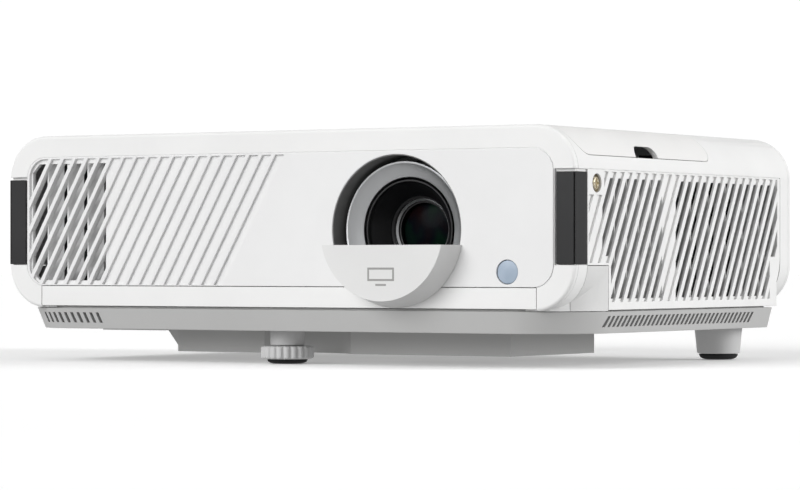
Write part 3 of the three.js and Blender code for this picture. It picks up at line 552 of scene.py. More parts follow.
KEYPAD_KEYS = ("power", "source", "menu", "up", "down", "left", "right", "enter")
KEY_FLANGE = 1.2
DISH_HALF_X, DISH_HALF_Y, DISH_RADIUS = 54, 25, 8


def key_place(name):
    low, high = corners(f"{name}_button")
    x, y, _ = centre(f"{name}_button")
    return x, y, (high[0] - low[0]) / 2 - KEY_FLANGE


def shell():
    cover = prism("shell", body_outline(0), BEZEL_BACK + 0.1, SHELL_BACK, holes=[body_outline(WALL)])
    cut(cover, block("under", -134, 134, SHELL_FRONT - 3, SHELL_BACK + 3, 15, 40))
    corner_top = corners("front_corner_right")[1][2]
    for name, side in SIDES:
        join(cover, corner_wall("strip", side, BEZEL_BACK + GAP, GRILLE_LOW[1] - GAP, corner_top))
        low, high = corners(f"accent_side_{name}")
        cut(cover,
            block("grille_gap", side * 110, side * 170, GRILLE_LOW[1] - GAP, GRILLE_HIGH[1] + GAP,
                  10, GRILLE_HIGH[2] + GAP),
            block("accent_gap", side * (HALF_WIDTH - 0.9), side * 170, low[1] - GAP, high[1] + GAP,
                  low[2] - GAP, high[2] + 1.3))
    edge = LID_LOW[0] - GAP
    cut(cover, prism("lid_gap", lid_outline(GAP), edge, HALF_WIDTH + 9, "x"))
    axis_z = centre("lid_hinge_rod")[2]
    for y0, y1 in ((LID_LOW[1] - 1.9, LID_LOW[1] - GAP), (LID_HIGH[1] + GAP, LID_HIGH[1] + 1.9)):
        join(cover, block("lug", edge + 0.01, edge + 5, y0, y1, axis_z - 3, TOP - WALL + 0.6))
    x, y, _ = centre("keypad_board")
    dish = rounded(x - DISH_HALF_X, y - DISH_HALF_Y, x + DISH_HALF_X, y + DISH_HALF_Y, DISH_RADIUS)
    cut(cover, prism("dish", dish, TOP - 1, TOP + 4, "z"))
    for key in KEYPAD_KEYS:
        kx, ky, radius = key_place(key)
        cut(cover, prism("hole", circle(kx, ky, radius + GAP, 40), TOP - 6, TOP + 4, "z"))
    return install(soften(cover, 0.35), "case", "shell_white", WHITE, "top_cover")


BEZEL_EDGE = 1.5
SEAM_WIDTH = 0.4
SEAM_DEPTH = 0.25


def bezel():
    back = BEZEL_BACK
    low = corners("front_bezel")[0]
    sweep = [math.radians(15 * i) for i in range(7)]
    stations = [(BEZEL_EDGE * (1 - math.sin(a)), low[1] + BEZEL_EDGE * (1 - math.cos(a)))
                for a in sweep]
    plate = loft("bezel", [[(u, y, v) for u, v in body_outline(inset)]
                           for inset, y in (*stations, (0, back))])
    cut(plate, prism("opening", panel_outline(SEAM_WIDTH), low[1] - 2, back + 2))
    strip = corners("front_lower_strip")
    cut(plate, block("strip_gap", strip[0][0] - GAP, strip[1][0] + GAP, low[1] - 2, back + 2,
                     20, PANEL_LOW[2] + 2))
    for name, side in SIDES:
        a, b = corners(f"accent_front_{name}")
        cut(plate, block("accent_gap", side * 145, side * 160, low[1] - 2, b[1] + GAP,
                         a[2] - GAP, b[2] + 1.3),
            block("side_accent_gap", side * (HALF_WIDTH - 0.9), side * 170, low[1] - 2, back + 2,
                  a[2] - GAP, b[2] + 1.3))
    install(soften(plate, 0.3), "case", "shell_white", WHITE, "front_bezel")
    # A shallow white bed under the seam between the bezel and the panel.
    seam = prism("panel_seam", panel_outline(SEAM_WIDTH - LAYER_GAP), low[1] + SEAM_DEPTH, back,
                 holes=[panel_outline(LAYER_GAP)])
    cut(seam, block("open_foot", -STRIP_END, STRIP_END, low[1] - 2, back + 2, 20,
                    PANEL_LOW[2] + 0.1))
    return install(seam, "case", "shell_white", FASCIA_WHITE)


def lower_strip():
    low, high = corners("front_lower_strip")
    strip = prism("lower_strip", rectangle(low[0], low[2], high[0], high[2]), low[1], high[1])
    return install(soften(strip, 0.3), "case", "shell_white", WHITE, "front_lower_strip")


def leaning(start, zero, pitch, width, count, low, high, lean=RIB_LEAN):
    """Outlines of leaning slots side by side, like the ribs of the grilles."""
    outlines = []
    for i in range(count):
        at = [start + pitch * i + lean * (z - zero) for z in (low, high)]
        outlines.append([(at[0], low), (at[0] + width, low), (at[1] + width, high), (at[1], high)])
    return outlines


def slats(name, reach, w0, w1, axis, edge, zero, pitch, width, count):
    """Leaning slats laid across an opening, cut off just inside the frame around it."""
    heights = [v for _, v in reach]
    bars = prisms(name, leaning(edge, zero, pitch, width, count, min(heights) - 1,
                                max(heights) + 1), w0, w1, axis)
    return within(bars, prism("reach", reach, w0 - 9, w1 + 9, axis))


FRONT_SLATS = {"edge": -166.76, "zero": 37, "pitch": 7.17, "width": 2.3, "count": 19}
LAST_GROOVE = -30.5
GROOVE_FLOOR = FRONT + 1.3
LAP = 0.3
FIELD_RADIUS = 9
LOUVRE = {"x": (-142.5, -98.8), "z": (38.6, 94.5), "chamfer": 4}
LOUVRE_FINS = (-134.2, -122.3, -110.3)


def groove_field(grow=0.0):
    """The ribbed part of the front panel: round at the left, ending at the last groove."""
    left, low, high = PANEL_LOW[0] + 1.3 - grow, PANEL_LOW[2] + 0.5 - grow, PANEL_HIGH[2] - 0.6 + grow
    right = [LAST_GROOVE + grow + RIB_LEAN * (z - FRONT_SLATS["zero"]) for z in (low, high)]
    turn = FIELD_RADIUS
    return ([(right[0], low), (right[1], high)] + arc(left + turn, high - turn, turn, 90, 180, 8)
            + arc(left + turn, low + turn, turn, 180, 270, 8))


def louvre_opening(grow=0.0):
    x0, x1 = LOUVRE["x"][0] - grow, LOUVRE["x"][1] + grow
    z0, z1 = LOUVRE["z"][0] - grow, LOUVRE["z"][1] + grow
    corner = LOUVRE["chamfer"]
    return [(x0 + corner, z0), (x1, z0), (x1, z1), (x0 + corner, z1), (x0, z1 - corner),
            (x0, z0 + corner)]


def fascia():
    """The front panel in two layers: the ribbed face, and the louvre's slats running on behind."""
    x, _, z = centre("ir_window")
    layers = (("fascia", groove_field, FRONT, GROOVE_FLOOR, ("front_panel",)),
              ("louvre_frame", louvre_opening, GROOVE_FLOOR + LAYER_GAP, PANEL_HIGH[1], ()))
    for name, opening, y0, y1, nodes in layers:
        plate = prism(name, panel_outline(), y0, y1,
                      holes=[opening(), circle(x, z, RECEIVER_HOLE, 48)])
        cut(plate, prism("bore", circle(LENS_X, LENS_Z, LENS_OPENING, 128), y0 - 3, y1 + 3))
        install(soften(plate, 0.22 if nodes else 0.1), "case", "shell_white", FASCIA_WHITE, *nodes)
        ribs = slats(f"{name}_ribs", opening(LAP), y0 + LAYER_GAP, y1, "y", **FRONT_SLATS)
        install(soften(ribs, 0.18), "case", "shell_white", FASCIA_WHITE)


FIN_SPREAD = 4.8
FIN_DEEP = 6


def fins(name, edges, face, inward, z0, z1, axis):
    """Upright wedges behind the slots: a sharp edge near the face, hollowed away behind it."""
    bm = bmesh.new()
    for edge in edges:
        curve = [(edge + 0.7 + FIN_SPREAD * t, face + inward * FIN_DEEP * t ** 0.55) for t in
                 (0, 0.06, 0.16, 0.3, 0.5, 0.75, 1)]
        outline = [(edge, face)] + curve + [(edge, face + inward * FIN_DEEP)]
        if axis == "y":
            outline = [(w, u) for u, w in outline]
        add_prism(bm, outline, z0, z1, "z")
    return object_from(name, bm)


def louvre_fins():
    wedges = fins("louvre_fins", LOUVRE_FINS, FRONT + 2.0, 1, 37.5, 95.5, "x")
    install(soften(wedges, 0), "case", "shell_white", FASCIA_WHITE)


def accents():
    for name, side in SIDES:
        for part in ("front", "side"):
            low, high = corners(f"accent_{part}_{name}")
            cap = prism(f"accent_cap_{part}_{name}",
                        rectangle(low[0], low[1], high[0], high[1]) if part == "front" else
                        side_cap_plan(low, high, side), low[2], high[2], "z")
            install(soften(cap, 0.25), "case", "accent_charcoal", CHARCOAL,
                    f"accent_{part}_{name}")


def side_cap_plan(low, high, side):
    face = side * HALF_WIDTH
    thin = face - 0.6 * side
    thick = face - 1.2 * side
    step = BEZEL_BACK + 2 * GAP
    return [(face, low[1]), (face, high[1]), (thick, high[1]), (thick, step), (thin, step),
            (thin, low[1])]


SIDE_SLATS = {"edge": -97.12, "zero": 86.8, "pitch": 7.78, "width": 3.3, "count": 31}
SIDE_FINS = ((-77.5, 11.75, 6), (10.2, 18.3, 5))
SIDE_FACE = 1.2
SIDE_DEPTH = 3
HEAD_RECESS_HOLE = 4.2
SCREW_HOLE = 1.8


def side_field(grow=0.0):
    """The ribbed part of a side cover, as seen from its side."""
    return [(-71 - grow, 29.5 - grow), (94 + grow, 29.5 - grow), (94 + grow, 50 - grow),
            (102.6 + grow, 50 - grow), (102.6 + grow, 87.5 + grow), (-77.3 - grow, 87.5 + grow),
            (-77.3 - grow, 77 + grow), (-91.8 - grow, 77 + grow), (-91.8 - grow, 46.9 - grow),
            (-71 - grow, 46.9 - grow)]


def side_windows():
    low, high, step = 31, 84.7, 50
    return [[(-71, low), (-19.1, low), (-19.1, high), (-77.3, high), (-77.3, step), (-71, step)],
            [(-5, low), (94, low), (94, step), (102.6, step), (102.6, high), (-5, high)]]


def side_grille(name, side):
    low, high = GRILLE_LOW, GRILLE_HIGH
    outer = side * HALF_WIDTH
    floor = outer - SIDE_FACE * side
    inner = outer - SIDE_DEPTH * side
    heel, step = [v + GAP for v in corners("front_corner_right")[1][1:]]
    outline = [(low[1], high[2]), (low[1], step), (heel, step), (heel, low[2]), (102, low[2]),
               *arc(84.5, 50, 21.1, -35, 0, 6), (high[1], high[2])]
    _, y, z = centre(f"side_screw_{name}")
    layers = ((f"grille_{name}", [side_field()], floor, outer, (f"side_grille_{name}",)),
              (f"grille_back_{name}", side_windows(), inner, floor - LAYER_GAP * side, ()))
    for piece, openings, x0, x1, nodes in layers:
        x0, x1 = sorted((x0, x1))
        plate = prism(piece, outline, x0, x1, "x", holes=openings)
        radius = HEAD_RECESS_HOLE if nodes else SCREW_HOLE
        cut(plate, prism("screw_hole", circle(y, z, radius, 40), x0 - 3, x1 + 3, "x"))
        install(soften(plate, 0.2 if nodes else 0.1), "case", "shell_white", WHITE, *nodes)
    x0, x1 = sorted((floor, outer))
    ribs = slats(f"grille_ribs_{name}", side_field(LAP), x0 + LAYER_GAP, x1 - LAYER_GAP, "x",
                 **SIDE_SLATS)
    install(soften(ribs, 0.18), "case", "shell_white", WHITE)
    rail = block(f"grille_rail_{name}", outer - 2.2 * side, outer - 0.5 * side, low[1], high[1],
                 high[2] + LAYER_GAP, high[2] + GAP - LAYER_GAP)
    install(rail, "case", "shell_white", WHITE)
    edges = [start + pitch * i for start, pitch, count in SIDE_FINS for i in range(count)]
    wedges = fins(f"grille_fins_{name}", edges, outer - 1.3 * side, -side, 29.5, 86, "y")
    # The fins' grey is painted shade for the inside of the grille, where little light gets in.
    install(soften(wedges, 0), "case", "shell_white", FIN_SHADE_GREY)


def side_screw(name, side):
    low, high = corners(f"side_screw_{name}")
    y, z = centre(f"side_screw_{name}")[1:]
    face = high[0] if side > 0 else low[0]
    inner = face - 1.3 * side
    # A near-black ring round the screw head: painted shade for the recess it sits in.
    shade_ring = lathe(f"screw_recess_shade_ring_{name}", [(2.9, inner), (4.1, inner), (4.1, face - 0.7 * side),
                   (2.9, face - 0.9 * side)], (y, z), "x", 48)
    install(soften(shade_ring, 0.08), "case", "brass", RECESS_SHADE_BRASS)
    head = lathe(f"screw_head_{name}", [(0, inner), (2.8, inner), (2.8, face - 0.4 * side),
                 (2.5, face - 0.1 * side), (1.8, face), (0, face)], (y, z), "x", 48, False)
    for a, b in ((2.1, 0.45), (0.45, 2.1)):
        cut(head, block("recess", face - 0.9 * side, face + side, y - a, y + a, z - b, z + b))
    install(soften(head, 0.1), "case", "brass", BRASS, f"side_screw_{name}")


def front_corner(name, side):
    low, high = corners("front_corner_right")
    wall = corner_wall(f"corner_{name}", side, low[1], high[1], high[2])
    # The corner's greyer white is painted shade for its down-facing curve.
    install(soften(wall, 0.3), "case", "shell_white", SHADED_CORNER_WHITE, f"front_corner_{name}")


HINGE_RADIUS = 2.1
HINGE_BORE = 0.9
NOTCH_FRONT, NOTCH_BACK, NOTCH_RISE, NOTCH_RADIUS = -44.5, -22.5, 94.8, 5
SCOOP_WALL = 1.2


def lens_lid():
    low, high = LID_LOW, LID_HIGH
    ring = prism("lid", body_outline(0), low[1] - 2, high[1] + 2, holes=[body_outline(WALL)])
    axis_z = centre("lid_hinge_rod")[2]
    hinge_x = low[0] + HINGE_RADIUS
    within(ring, prism("cover", lid_outline(0), hinge_x, HALF_WIDTH + 9, "x"))
    barrel = prism("barrel", circle(hinge_x, axis_z, HINGE_RADIUS, 32), low[1], high[1])
    join(ring, barrel)
    cut(ring, prism("bore", circle(hinge_x, axis_z, HINGE_BORE, 20), low[1] - 3, high[1] + 3))
    # The finger notch: cut up from the lower edge, with round upper corners.
    reach = NOTCH_RADIUS
    notch = ([(NOTCH_FRONT, 90), (NOTCH_BACK, 90)]
             + arc(NOTCH_BACK - reach, NOTCH_RISE, reach, 0, 90, 8)
             + arc(NOTCH_FRONT + reach, NOTCH_RISE, reach, 90, 180, 8))
    cut(ring, prism("notch", notch, 140, 170, "x"))
    # The scoop behind the notch, closed at the back.
    inner = HALF_WIDTH - WALL
    scoop = prism("lid_scoop", rounded(NOTCH_FRONT - SCOOP_WALL, low[2], NOTCH_BACK + SCOOP_WALL,
                                       101, 5, 8), inner - 2.6, inner - 0.1, "x")
    cut(scoop, prism("hollow", notch, inner - 1.6, HALF_WIDTH + 9, "x"))
    install(soften(scoop, 0.2), "lid", "lid_white", LID_WHITE)
    return install(soften(ring, 0.35), "lid", "lid_white", LID_WHITE, "lens_lid")


# ---- Lower case ----------------------------------------------------------------------

def tray_loop(inset, z, lean):
    """The lower case's plan at one height. Its front and sides lean in towards the underside."""
    front, back = TRAY_LOW[1], TRAY_HIGH[1]
    x = HALF_WIDTH - inset
    radius, heel = PLAN_RADIUS - inset, 3
    y0, y1 = front + inset, back - inset
    loop = (arc(x - radius, y0 + radius, radius, -90, 0, 18)
            + arc(x - heel, y1 - heel, heel, 0, 90, 6)
            + arc(-x + heel, y1 - heel, heel, 90, 180, 6)
            + arc(-x + radius, y0 + radius, radius, 180, 270, 18))
    narrow = 1 - lean * SIDE_DRAFT / HALF_WIDTH
    shorten = 1 - lean * FRONT_DRAFT / (back - front)
    return [(u * narrow, back + (v - back) * shorten, z) for u, v in loop]


def loft(name, loops):
    bm = bmesh.new()
    rings = [[bm.verts.new(p) for p in loop] for loop in loops]
    for lower, upper in zip(rings, rings[1:]):
        count = len(lower)
        for i in range(count):
            j = (i + 1) % count
            bm.faces.new((lower[i], lower[j], upper[j], upper[i]))
    bm.faces.new(rings[0])
    bm.faces.new(rings[-1])
    return object_from(name, bm)


VENT_LOW, VENT_HIGH = 18.4, 23.3
SOCKET_HOLE = 8.3
POCKET_RADIUS = 29.7
NOSE = 3.5
UNDER_VENTS = {"start": 20, "pitch": 9, "count": 6, "width": 4, "y": (-36, -4)}


def tray():
    low, high = TRAY_LOW[2], TRAY_HIGH[2]
    body = loft("tray", [tray_loop(0, low, 1.06), tray_loop(0, low + 0.5, 0.95),
                         tray_loop(0, high, 0)])
    cut(body, loft("hollow", [tray_loop(WALL, low + WALL, 0.76), tray_loop(WALL, high + 1, 0)]))
    lip = loft("case_lip", [tray_loop(3, high - 2, 0), tray_loop(3, high + 1, 0)])
    cut(lip, loft("hollow", [tray_loop(4, high - 3, 0), tray_loop(4, high + 2, 0)]))
    install(lip, "case", "case_grey", CASE_GREY)
    for _, side in SIDES:
        vents = leaning(-75.2, VENT_LOW, 4.2, 2.3, 36, VENT_LOW, VENT_HIGH)
        cut(body, prisms("vents", vents, *sorted((side * 144, side * 160)), "x"))
    front_vents = leaning(-137.3, VENT_LOW, 3.8, 1.7, 10, VENT_LOW, VENT_HIGH, -0.3)
    cut(body, prisms("front_vents", front_vents, FRONT - 3, FRONT + 16))
    x, y, _ = centre("foot_socket")
    cut(body, prism("foot_hole", circle(x, y, SOCKET_HOLE, 48), low - 3, low + 6, "z"))
    return install(soften(body, 0.2), "case", "case_grey", CASE_GREY, "bottom_case")


def base_block():
    low, high = BLOCK_LOW, BLOCK_HIGH
    x, y, _ = centre("foot_screw")
    x0, x1, y0, y1 = BLOCK_TOP_LEFT + BLOCK_LEAN, high[0], low[1], high[1]
    body = loft("underside_block", [
        [(x0, y0, low[2]), (x1, y0, low[2]), (x1, y1, low[2]), (x0, y1, low[2]),
         (x0, y0 + NOSE, low[2])],
        [(x0, y0, high[2]), (x1, y0, high[2]), (x1, y1, high[2]),
         (BLOCK_TOP_LEFT, y1, high[2]), (BLOCK_TOP_LEFT, y0 + NOSE, high[2])]])
    join(body, block("flange", low[0], BLOCK_TOP_LEFT + 1, y0, y1, high[2] - 1, high[2]))
    cut(body, prism("pocket", circle(x, y, POCKET_RADIUS, 96), low[2] - 3, high[2] + 3, "z"))
    y0, y1 = UNDER_VENTS["y"]
    for i in range(UNDER_VENTS["count"]):
        left = UNDER_VENTS["start"] + UNDER_VENTS["pitch"] * i
        vent = rounded(left, y0, left + UNDER_VENTS["width"], y1, 1.9, 6)
        cut(body, prism("vent", vent, low[2] - 3, low[2] + 2, "z"))
    return install(soften(body, 0.5, 3), "case", "block_grey", BLOCK_GREY, "base_block")


WHEEL_TEETH = 22
TOOTH_DEPTH = 0.9
TOOTH_ROOT = 11


def knurl(angle, radius):
    """Flutes in the foot wheel's rim; radii up to the teeth's root stay round."""
    if radius <= TOOTH_ROOT:
        return radius
    return radius - TOOTH_DEPTH * (0.5 + 0.5 * math.cos(angle * WHEEL_TEETH)) ** 2


def feet():
    x, y, _ = centre("foot_screw")
    boss = lathe("foot_boss", [(4.3, 8.5), (7.6, 8.5), (8, 8.9), (8, 38), (4.3, 38)], (x, y), "z")
    install(soften(boss, 0), "case", "case_grey", FOOT_GREY, "foot_socket")

    wheel = lathe("foot_wheel", [(2.8, 2.1), (11, 2.1), (12.1, 2.5), (12.5, 3.1), (12.5, 7.2),
                  (12.1, 7.8), (11, 8.2), (4, 8.2), (4, 34.5), (3.4, 35), (0, 35), (0, 4.1),
                  (2.8, 4.1)], (x, y), "z", 264, True, knurl)
    install(soften(wheel, 0), "foot_screw_body", "case_grey", FOOT_GREY, "foot_screw")

    pad = lathe("foot_rubber", [(0, 0), (6.6, 0), (8, 0.25), (9, 0.8), (9.4, 1.5), (9.4, 1.8),
                (2.5, 1.8), (2.5, 3.8), (0, 3.8)], (x, y), "z", 72, False)
    install(soften(pad, 0), "foot_pad_body", "rubber", RUBBER, "foot_pad")

    for name, _ in SIDES:
        x, y, _ = centre(f"rear_foot_{name}")
        top = corners(f"rear_foot_{name}")[1][2]
        cone = lathe(f"rear_cone_{name}", [(0, 2.9), (9.9, 2.9), (10.4, 3.4), (11.6, top),
                     (0, top)], (x, y), "z", 96, False)
        install(soften(cone, 0), "case", "case_grey", FOOT_GREY, f"rear_foot_{name}")
        pad = lathe(f"rear_rubber_{name}", [(0, 0), (6, 0), (7.6, 0.3), (8.8, 1),
                    (9.4, 2), (9.4, 2.6), (0, 2.6)], (x, y), "z", 96, False)
        install(soften(pad, 0), "case", "rubber", RUBBER, f"rear_pad_{name}")


# ---- Lens ----------------------------------------------------------------------------

AT_LENS = (LENS_X, LENS_Z)
MOUTH_RADIUS, MOUTH_Y = 14.7, -82.2
RING_COUNT, RING_WIDTH, RING_RISE = 7, 0.95, 1.35
GLASS_RADIUS, GLASS_TOP, GLASS_CROWN = 12.3, -78.9, 2.2


def lens():
    hood = lathe("lens_hood_ring", [(31, -97.4), (31, -90), (24, -90), (24, -93.2), (24.6, -93.6),
                 (26.5, -94.6), (28.8, -96), (30.2, -97.3)], AT_LENS, "y", 128)
    install(soften(hood, 0.1), "lens", "lens_grey", SATIN, "lens_hood")

    steps = [(22.8, -92.9), (22.8, -38.3), (12.6, -38.3), (12.6, -79.4), (13.3, -79.5),
             (13.3, -80.2), (14.0, -80.4), (14.6, -80.9), (MOUTH_RADIUS, MOUTH_Y)]
    for i in range(1, RING_COUNT + 1):
        r = MOUTH_RADIUS + i * RING_WIDTH
        y = MOUTH_Y - i * RING_RISE
        steps += [(r, y + 0.9), (r + 0.25, y)]
    steps += [(21.9, -92.6), (22.2, -92.9)]
    barrel = lathe("lens_barrel_body", steps, AT_LENS, "y", 128)
    install(soften(barrel, 0), "lens", "lens_black", LENS_BLACK, "lens_barrel")

    rim = lathe("lens_front_rim", [(14.5, -80.6), (14.5, -80.95), (14.2, -81.1), (13.35, -80.4),
                (13.35, -80.1)], AT_LENS, "y", 96)
    install(soften(rim, 0), "lens", "lens_grey", SATIN)

    crown = [(GLASS_RADIUS * t, GLASS_TOP + GLASS_CROWN * t * t) for t in (i / 14 for i in range(15))]
    glass = lathe("front_element", crown + [(GLASS_RADIUS, -73), (0, -73)], AT_LENS, "y", 96, False)
    install(soften(glass, 0), "lens", "lens_glass", LENS_GLASS, "front_glass")

    # The dark liner between the front panel and the lens, fixed to the case.
    liner = lathe("lens_tunnel", [(33.7, FRONT + 0.3), (34.05, FRONT + 0.3), (34.05, PANEL_HIGH[1]),
                  (35.6, PANEL_HIGH[1] + GAP), (35.6, -84.5), (31.8, -84.5), (31.8, -85.3),
                  (33.7, -85.3)], AT_LENS, "y", 128)
    cut(liner, block("strip_gap", LENS_X - 40, LENS_X + 40, FRONT - 1, PANEL_HIGH[1] + GAP,
                     15, PANEL_LOW[2] + GAP))
    install(soften(liner, 0), "case", "dark_plastic", TUNNEL)


SHROUD_RADIUS = 32.2
SHROUD_FLARE = 3.0


def half_disc(inset, y0, y1, flat):
    """The lower part of a cone, cut flat across its top."""
    loops = []
    tip = corners("lens_shroud")[0][1]
    for y in (y0, y1):
        share = (y - tip) / (FRONT - GAP - tip)
        radius = SHROUD_RADIUS + SHROUD_FLARE * share - inset
        reach = math.degrees(math.asin((LENS_Z - flat) / radius))
        loops.append([(LENS_X + u, y, v + LENS_Z) for u, v in
                      arc(0, 0, radius, 180 + reach, 360 - reach, 64)])
    return loops


MARK_RELIEF = 0.06


def shroud():
    low, high = corners("lens_shroud")
    y0, y1 = low[1], high[1]
    cup = loft("shroud", half_disc(0, y0 + MARK_RELIEF, y1, high[2]))
    cut(cup, loft("hollow", half_disc(WALL, y0 + WALL, y1 + 1, high[2] - WALL)))
    install(soften(cup, 0.45, 3), "case", "lid_white", SHROUD_WHITE, "lens_shroud")
    # A plain printed pictogram: a wide screen with a bar under it.
    z = (low[2] + high[2]) / 2 + 1
    wide, tall, stroke = 7, 3, 0.9
    bars = [rectangle(LENS_X - wide, z + tall - stroke, LENS_X + wide, z + tall),
            rectangle(LENS_X - wide, z - tall, LENS_X + wide, z - tall + stroke),
            rectangle(LENS_X - wide, z - tall + stroke, LENS_X - wide + stroke, z + tall - stroke),
            rectangle(LENS_X + wide - stroke, z - tall + stroke, LENS_X + wide, z + tall - stroke),
            rectangle(LENS_X - 2.8, z - tall - 2.2, LENS_X + 2.8, z - tall - 1.3)]
    mark = prisms("screen_mark", bars, y0, y0 + 0.4)
    return install(mark, "case", "accent_charcoal", PRINT_GREY)


def receiver():
    x, _, z = centre("ir_window")
    low, high = corners("ir_window")
    disc = lathe("receiver_window", [(0, low[1]), (4.7, low[1] + 0.05), (5.15, low[1] + 0.4),
                 (5.2, high[1]), (0, high[1])], (x, z), "y", 64, False)
    install(soften(disc, 0), "case", "window_blue", RECEIVER, "ir_window")


# ---- Keypad and rear -----------------------------------------------------------------

def key_mark(name, x, y):
    """Plain symbols on the keys: arrows, a ring and stroke for power, a dot, bars."""
    if name == "power":
        ring = [(x + 2.6 * math.sin(a), y + 2.6 * math.cos(a)) for a in
                (math.radians(40 + 280 * i / 28) for i in range(29))]
        inner = [(x + 2.1 * math.sin(a), y + 2.1 * math.cos(a)) for a in
                 (math.radians(320 - 280 * i / 28) for i in range(29))]
        return [ring + inner, rectangle(x - 0.25, y + 0.9, x + 0.25, y + 3.1)]
    if name == "enter":
        return [circle(x, y, 1.1, 24)]
    if name == "menu":
        return [rectangle(x - 1.6, y + d - 0.22, x + 1.6, y + d + 0.22) for d in (-1.1, 0, 1.1)]
    if name == "source":
        return [rectangle(x - 1.7, y - 1.2, x + 0.9, y - 0.8), rectangle(x - 1.7, y + 0.8, x + 0.9,
                y + 1.2), [(x + 0.2, y - 0.8), (x + 1.9, y), (x + 0.2, y + 0.8)]]
    turn = {"up": 0, "left": 90, "down": 180, "right": 270}[name]
    corners_at = [math.radians(turn + 90 + a) for a in (0, 120, 240)]
    return [[(x + 1.5 * math.cos(a), y + 1.5 * math.sin(a)) for a in corners_at]]


def keys():
    for name in KEYPAD_KEYS:
        x, y, radius = key_place(name)
        low = corners(f"{name}_button")[0]
        cap = lathe(f"key_{name}", [(0, low[2]), (radius + KEY_FLANGE, low[2]),
                    (radius + KEY_FLANGE, TOP - 2.8), (radius, TOP - 2.8), (radius, TOP - 0.7),
                    (radius - 0.25, TOP - 0.3), (radius - 0.8, TOP - 0.08),
                    (radius * 0.5, TOP - 0.15), (0, TOP - 0.2)],
                    (x, y), "z", 64, False)
        install(soften(cap, 0), f"{name}_key", "button_grey", KEY_GREY, f"{name}_button")
        mark = prisms(f"key_mark_{name}", key_mark(name, x, y), TOP - 0.6, TOP - 0.04, "z")
        install(mark, f"{name}_key", "accent_charcoal", PRINT_GREY)
    x, y, _ = centre("keypad_board")
    for i in range(3):
        lamp = lathe(f"indicator_{i + 1}", [(0, TOP - 2), (1, TOP - 2), (1, TOP - 1), (0.7, TOP - 0.8),
                     (0, TOP - 0.75)], (x - 42 + 5 * (i - 1), y - 14), "z", 32, False)
        install(soften(lamp, 0), "case", "window_blue", RECEIVER)


SOCKET_NODES = ("power_inlet", "hdmi_socket_1", "hdmi_socket_2", "usb_socket")


SOCKET_BAY = (2, 42, 92, 67)
INLET_BAY = (-126, 38, -90, 66)
LOCK_SLOT = (112, 50, 119, 53)
REAR_VENTS = {"start": -72, "pitch": 8, "count": 8, "width": 4, "z": (72, 96)}
REAR_SCREWS = ((-140, 95), (140, 95), (-140, 40), (140, 40))


def rear():
    low, high = REAR_LOW, REAR_HIGH
    face, back = high[1] - WALL, high[1]
    plate = prism("rear_panel", body_outline(0), face, back)
    join(plate, block("floor", -133.7, 133.7, low[1], face + 1, BODY_BOTTOM, BODY_BOTTOM + WALL))
    recess = [rounded(*bay, 4, 8) for bay in (SOCKET_BAY, INLET_BAY)]
    cut(plate, prisms("recess", recess, back - 1.2, back + 3))
    for node in SOCKET_NODES:
        a, b = corners(node)
        hole = rounded(a[0] - GAP, a[2] - GAP, b[0] + GAP, b[2] + GAP, 0.8, 4)
        cut(plate, prism("hole", hole, face - 3, back + 3))
    z0, z1 = REAR_VENTS["z"]
    edges = [REAR_VENTS["start"] + REAR_VENTS["pitch"] * i for i in range(REAR_VENTS["count"])]
    vents = [rounded(x, z0, x + REAR_VENTS["width"], z1, 1.9, 6) for x in edges]
    cut(plate, prisms("vents", vents, face - 3, back + 3))
    cut(plate, prism("lock_slot", rounded(*LOCK_SLOT, 1.4, 6), face - 3, back + 3))
    install(soften(plate, 0.5, 3), "case", "shell_white", WHITE, "rear_cover")
    for i, outline in enumerate(recess):
        x0, x1 = min(u for u, _ in outline) + 0.4, max(u for u, _ in outline) - 0.4
        z0, z1 = min(v for _, v in outline) + 0.4, max(v for _, v in outline) - 0.4
        inlay = prism(f"socket_plate_{i + 1}", rounded(x0, z0, x1, z1, 3.6, 8), back - 1.15,
                      back - 0.5)
        for node in SOCKET_NODES:
            a, b = corners(node)
            if x0 < a[0] < x1:
                cut(inlay, prism("hole", rectangle(a[0] - GAP, a[2] - GAP, b[0] + GAP, b[2] + GAP),
                                 back - 3, back + 3))
        install(soften(inlay, 0.15), "case", "dark_plastic", IO_GREY)
    for i, (x, z) in enumerate(REAR_SCREWS):
        head = lathe(f"rear_screw_{i + 1}", [(0, back - 1), (2.9, back - 1), (2.9, back - 0.4),
                     (2.2, back - 0.05), (0, back)], (x, z), "y", 40, False)
        for a, b in ((1.8, 0.4), (0.4, 1.8)):
            cut(head, block("recess", x - a, x + a, back - 0.8, back + 1, z - b, z + b))
        install(soften(head, 0.08), "case", "steel", STEEL)


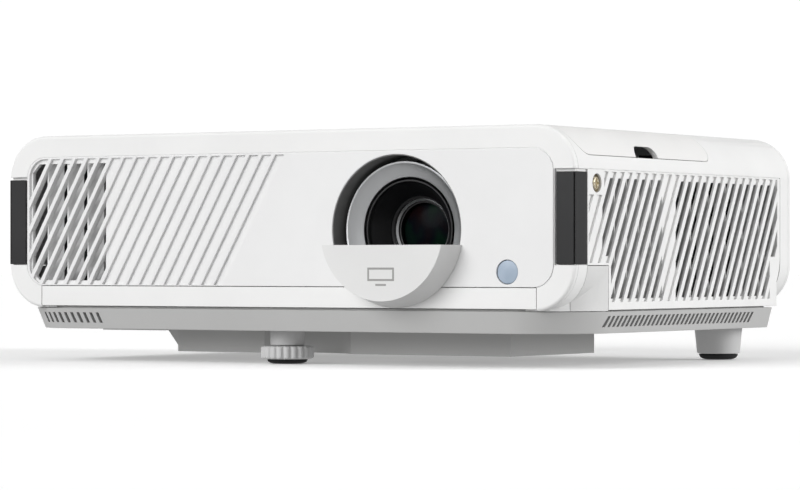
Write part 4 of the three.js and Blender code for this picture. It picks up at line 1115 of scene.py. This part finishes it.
def socket_tongues():
    """Contact tongues inside the data sockets and the three pins of the power inlet."""
    for node in SOCKET_NODES[1:]:
        a, b = corners(node)
        x, _, z = centre(node)
        tongue = block(f"{node}_tongue", x - 5, x + 5, a[1] + 2, b[1] - 2.5, z - 0.5, z + 0.5)
        install(soften(tongue, 0.15), "case", "lens_black", DARK)
    a, b = corners("power_inlet")
    x, _, z = centre("power_inlet")
    pins = prisms("inlet_pins", [rectangle(x + dx - 0.9, z + dz - 2, x + dx + 0.9, z + dz + 2)
                  for dx, dz in ((-7, -1.5), (0, 2), (7, -1.5))], a[1] + 3, b[1] - 3)
    install(soften(pins, 0.2), "case", "steel", STEEL)


# ---- CAD pieces that stay, with finished edges and materials -------------------------

def keep(node, material, width=0.3):
    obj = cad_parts[node]
    obj.data.materials.clear()
    obj.data.materials.append(material)
    step = obj.modifiers.new("edges", "BEVEL")
    step.width = width * MM
    step.segments = 2
    step.limit_method = "ANGLE"
    step.angle_limit = math.radians(40)


KEPT = {
    "lens_frame": ALLOY, "light_engine": ALLOY, "engine_heatsink": ALLOY,
    "lens_carriage": LENS_BLACK, "focus_ring": LENS_BLACK, "zoom_ring": LENS_BLACK,
    "shift_dial": CHARCOAL, "lamp_module": DARK, "speaker": DARK,
    "exhaust_fan_frame": DARK, "exhaust_fan_rotor": DARK, "intake_fan_frame": DARK,
    "intake_fan_rotor": DARK, "power_inlet": DARK, "colour_wheel": STEEL,
    "hdmi_socket_1": STEEL, "hdmi_socket_2": STEEL, "usb_socket": STEEL,
    "lid_hinge_rod": STEEL, "main_board": BOARD, "power_supply": BOARD, "keypad_board": BOARD,
}


shell()
bezel()
lower_strip()
fascia()
louvre_fins()
accents()
for side_name, side_sign in SIDES:
    side_grille(side_name, side_sign)
    side_screw(side_name, side_sign)
    front_corner(side_name, side_sign)
lens_lid()
tray()
base_block()
feet()
lens()
shroud()
receiver()
keys()
rear()
socket_tongues()
for node_name, node_material in KEPT.items():
    keep(node_name, node_material, 0.15 if "rod" in node_name else 0.3)
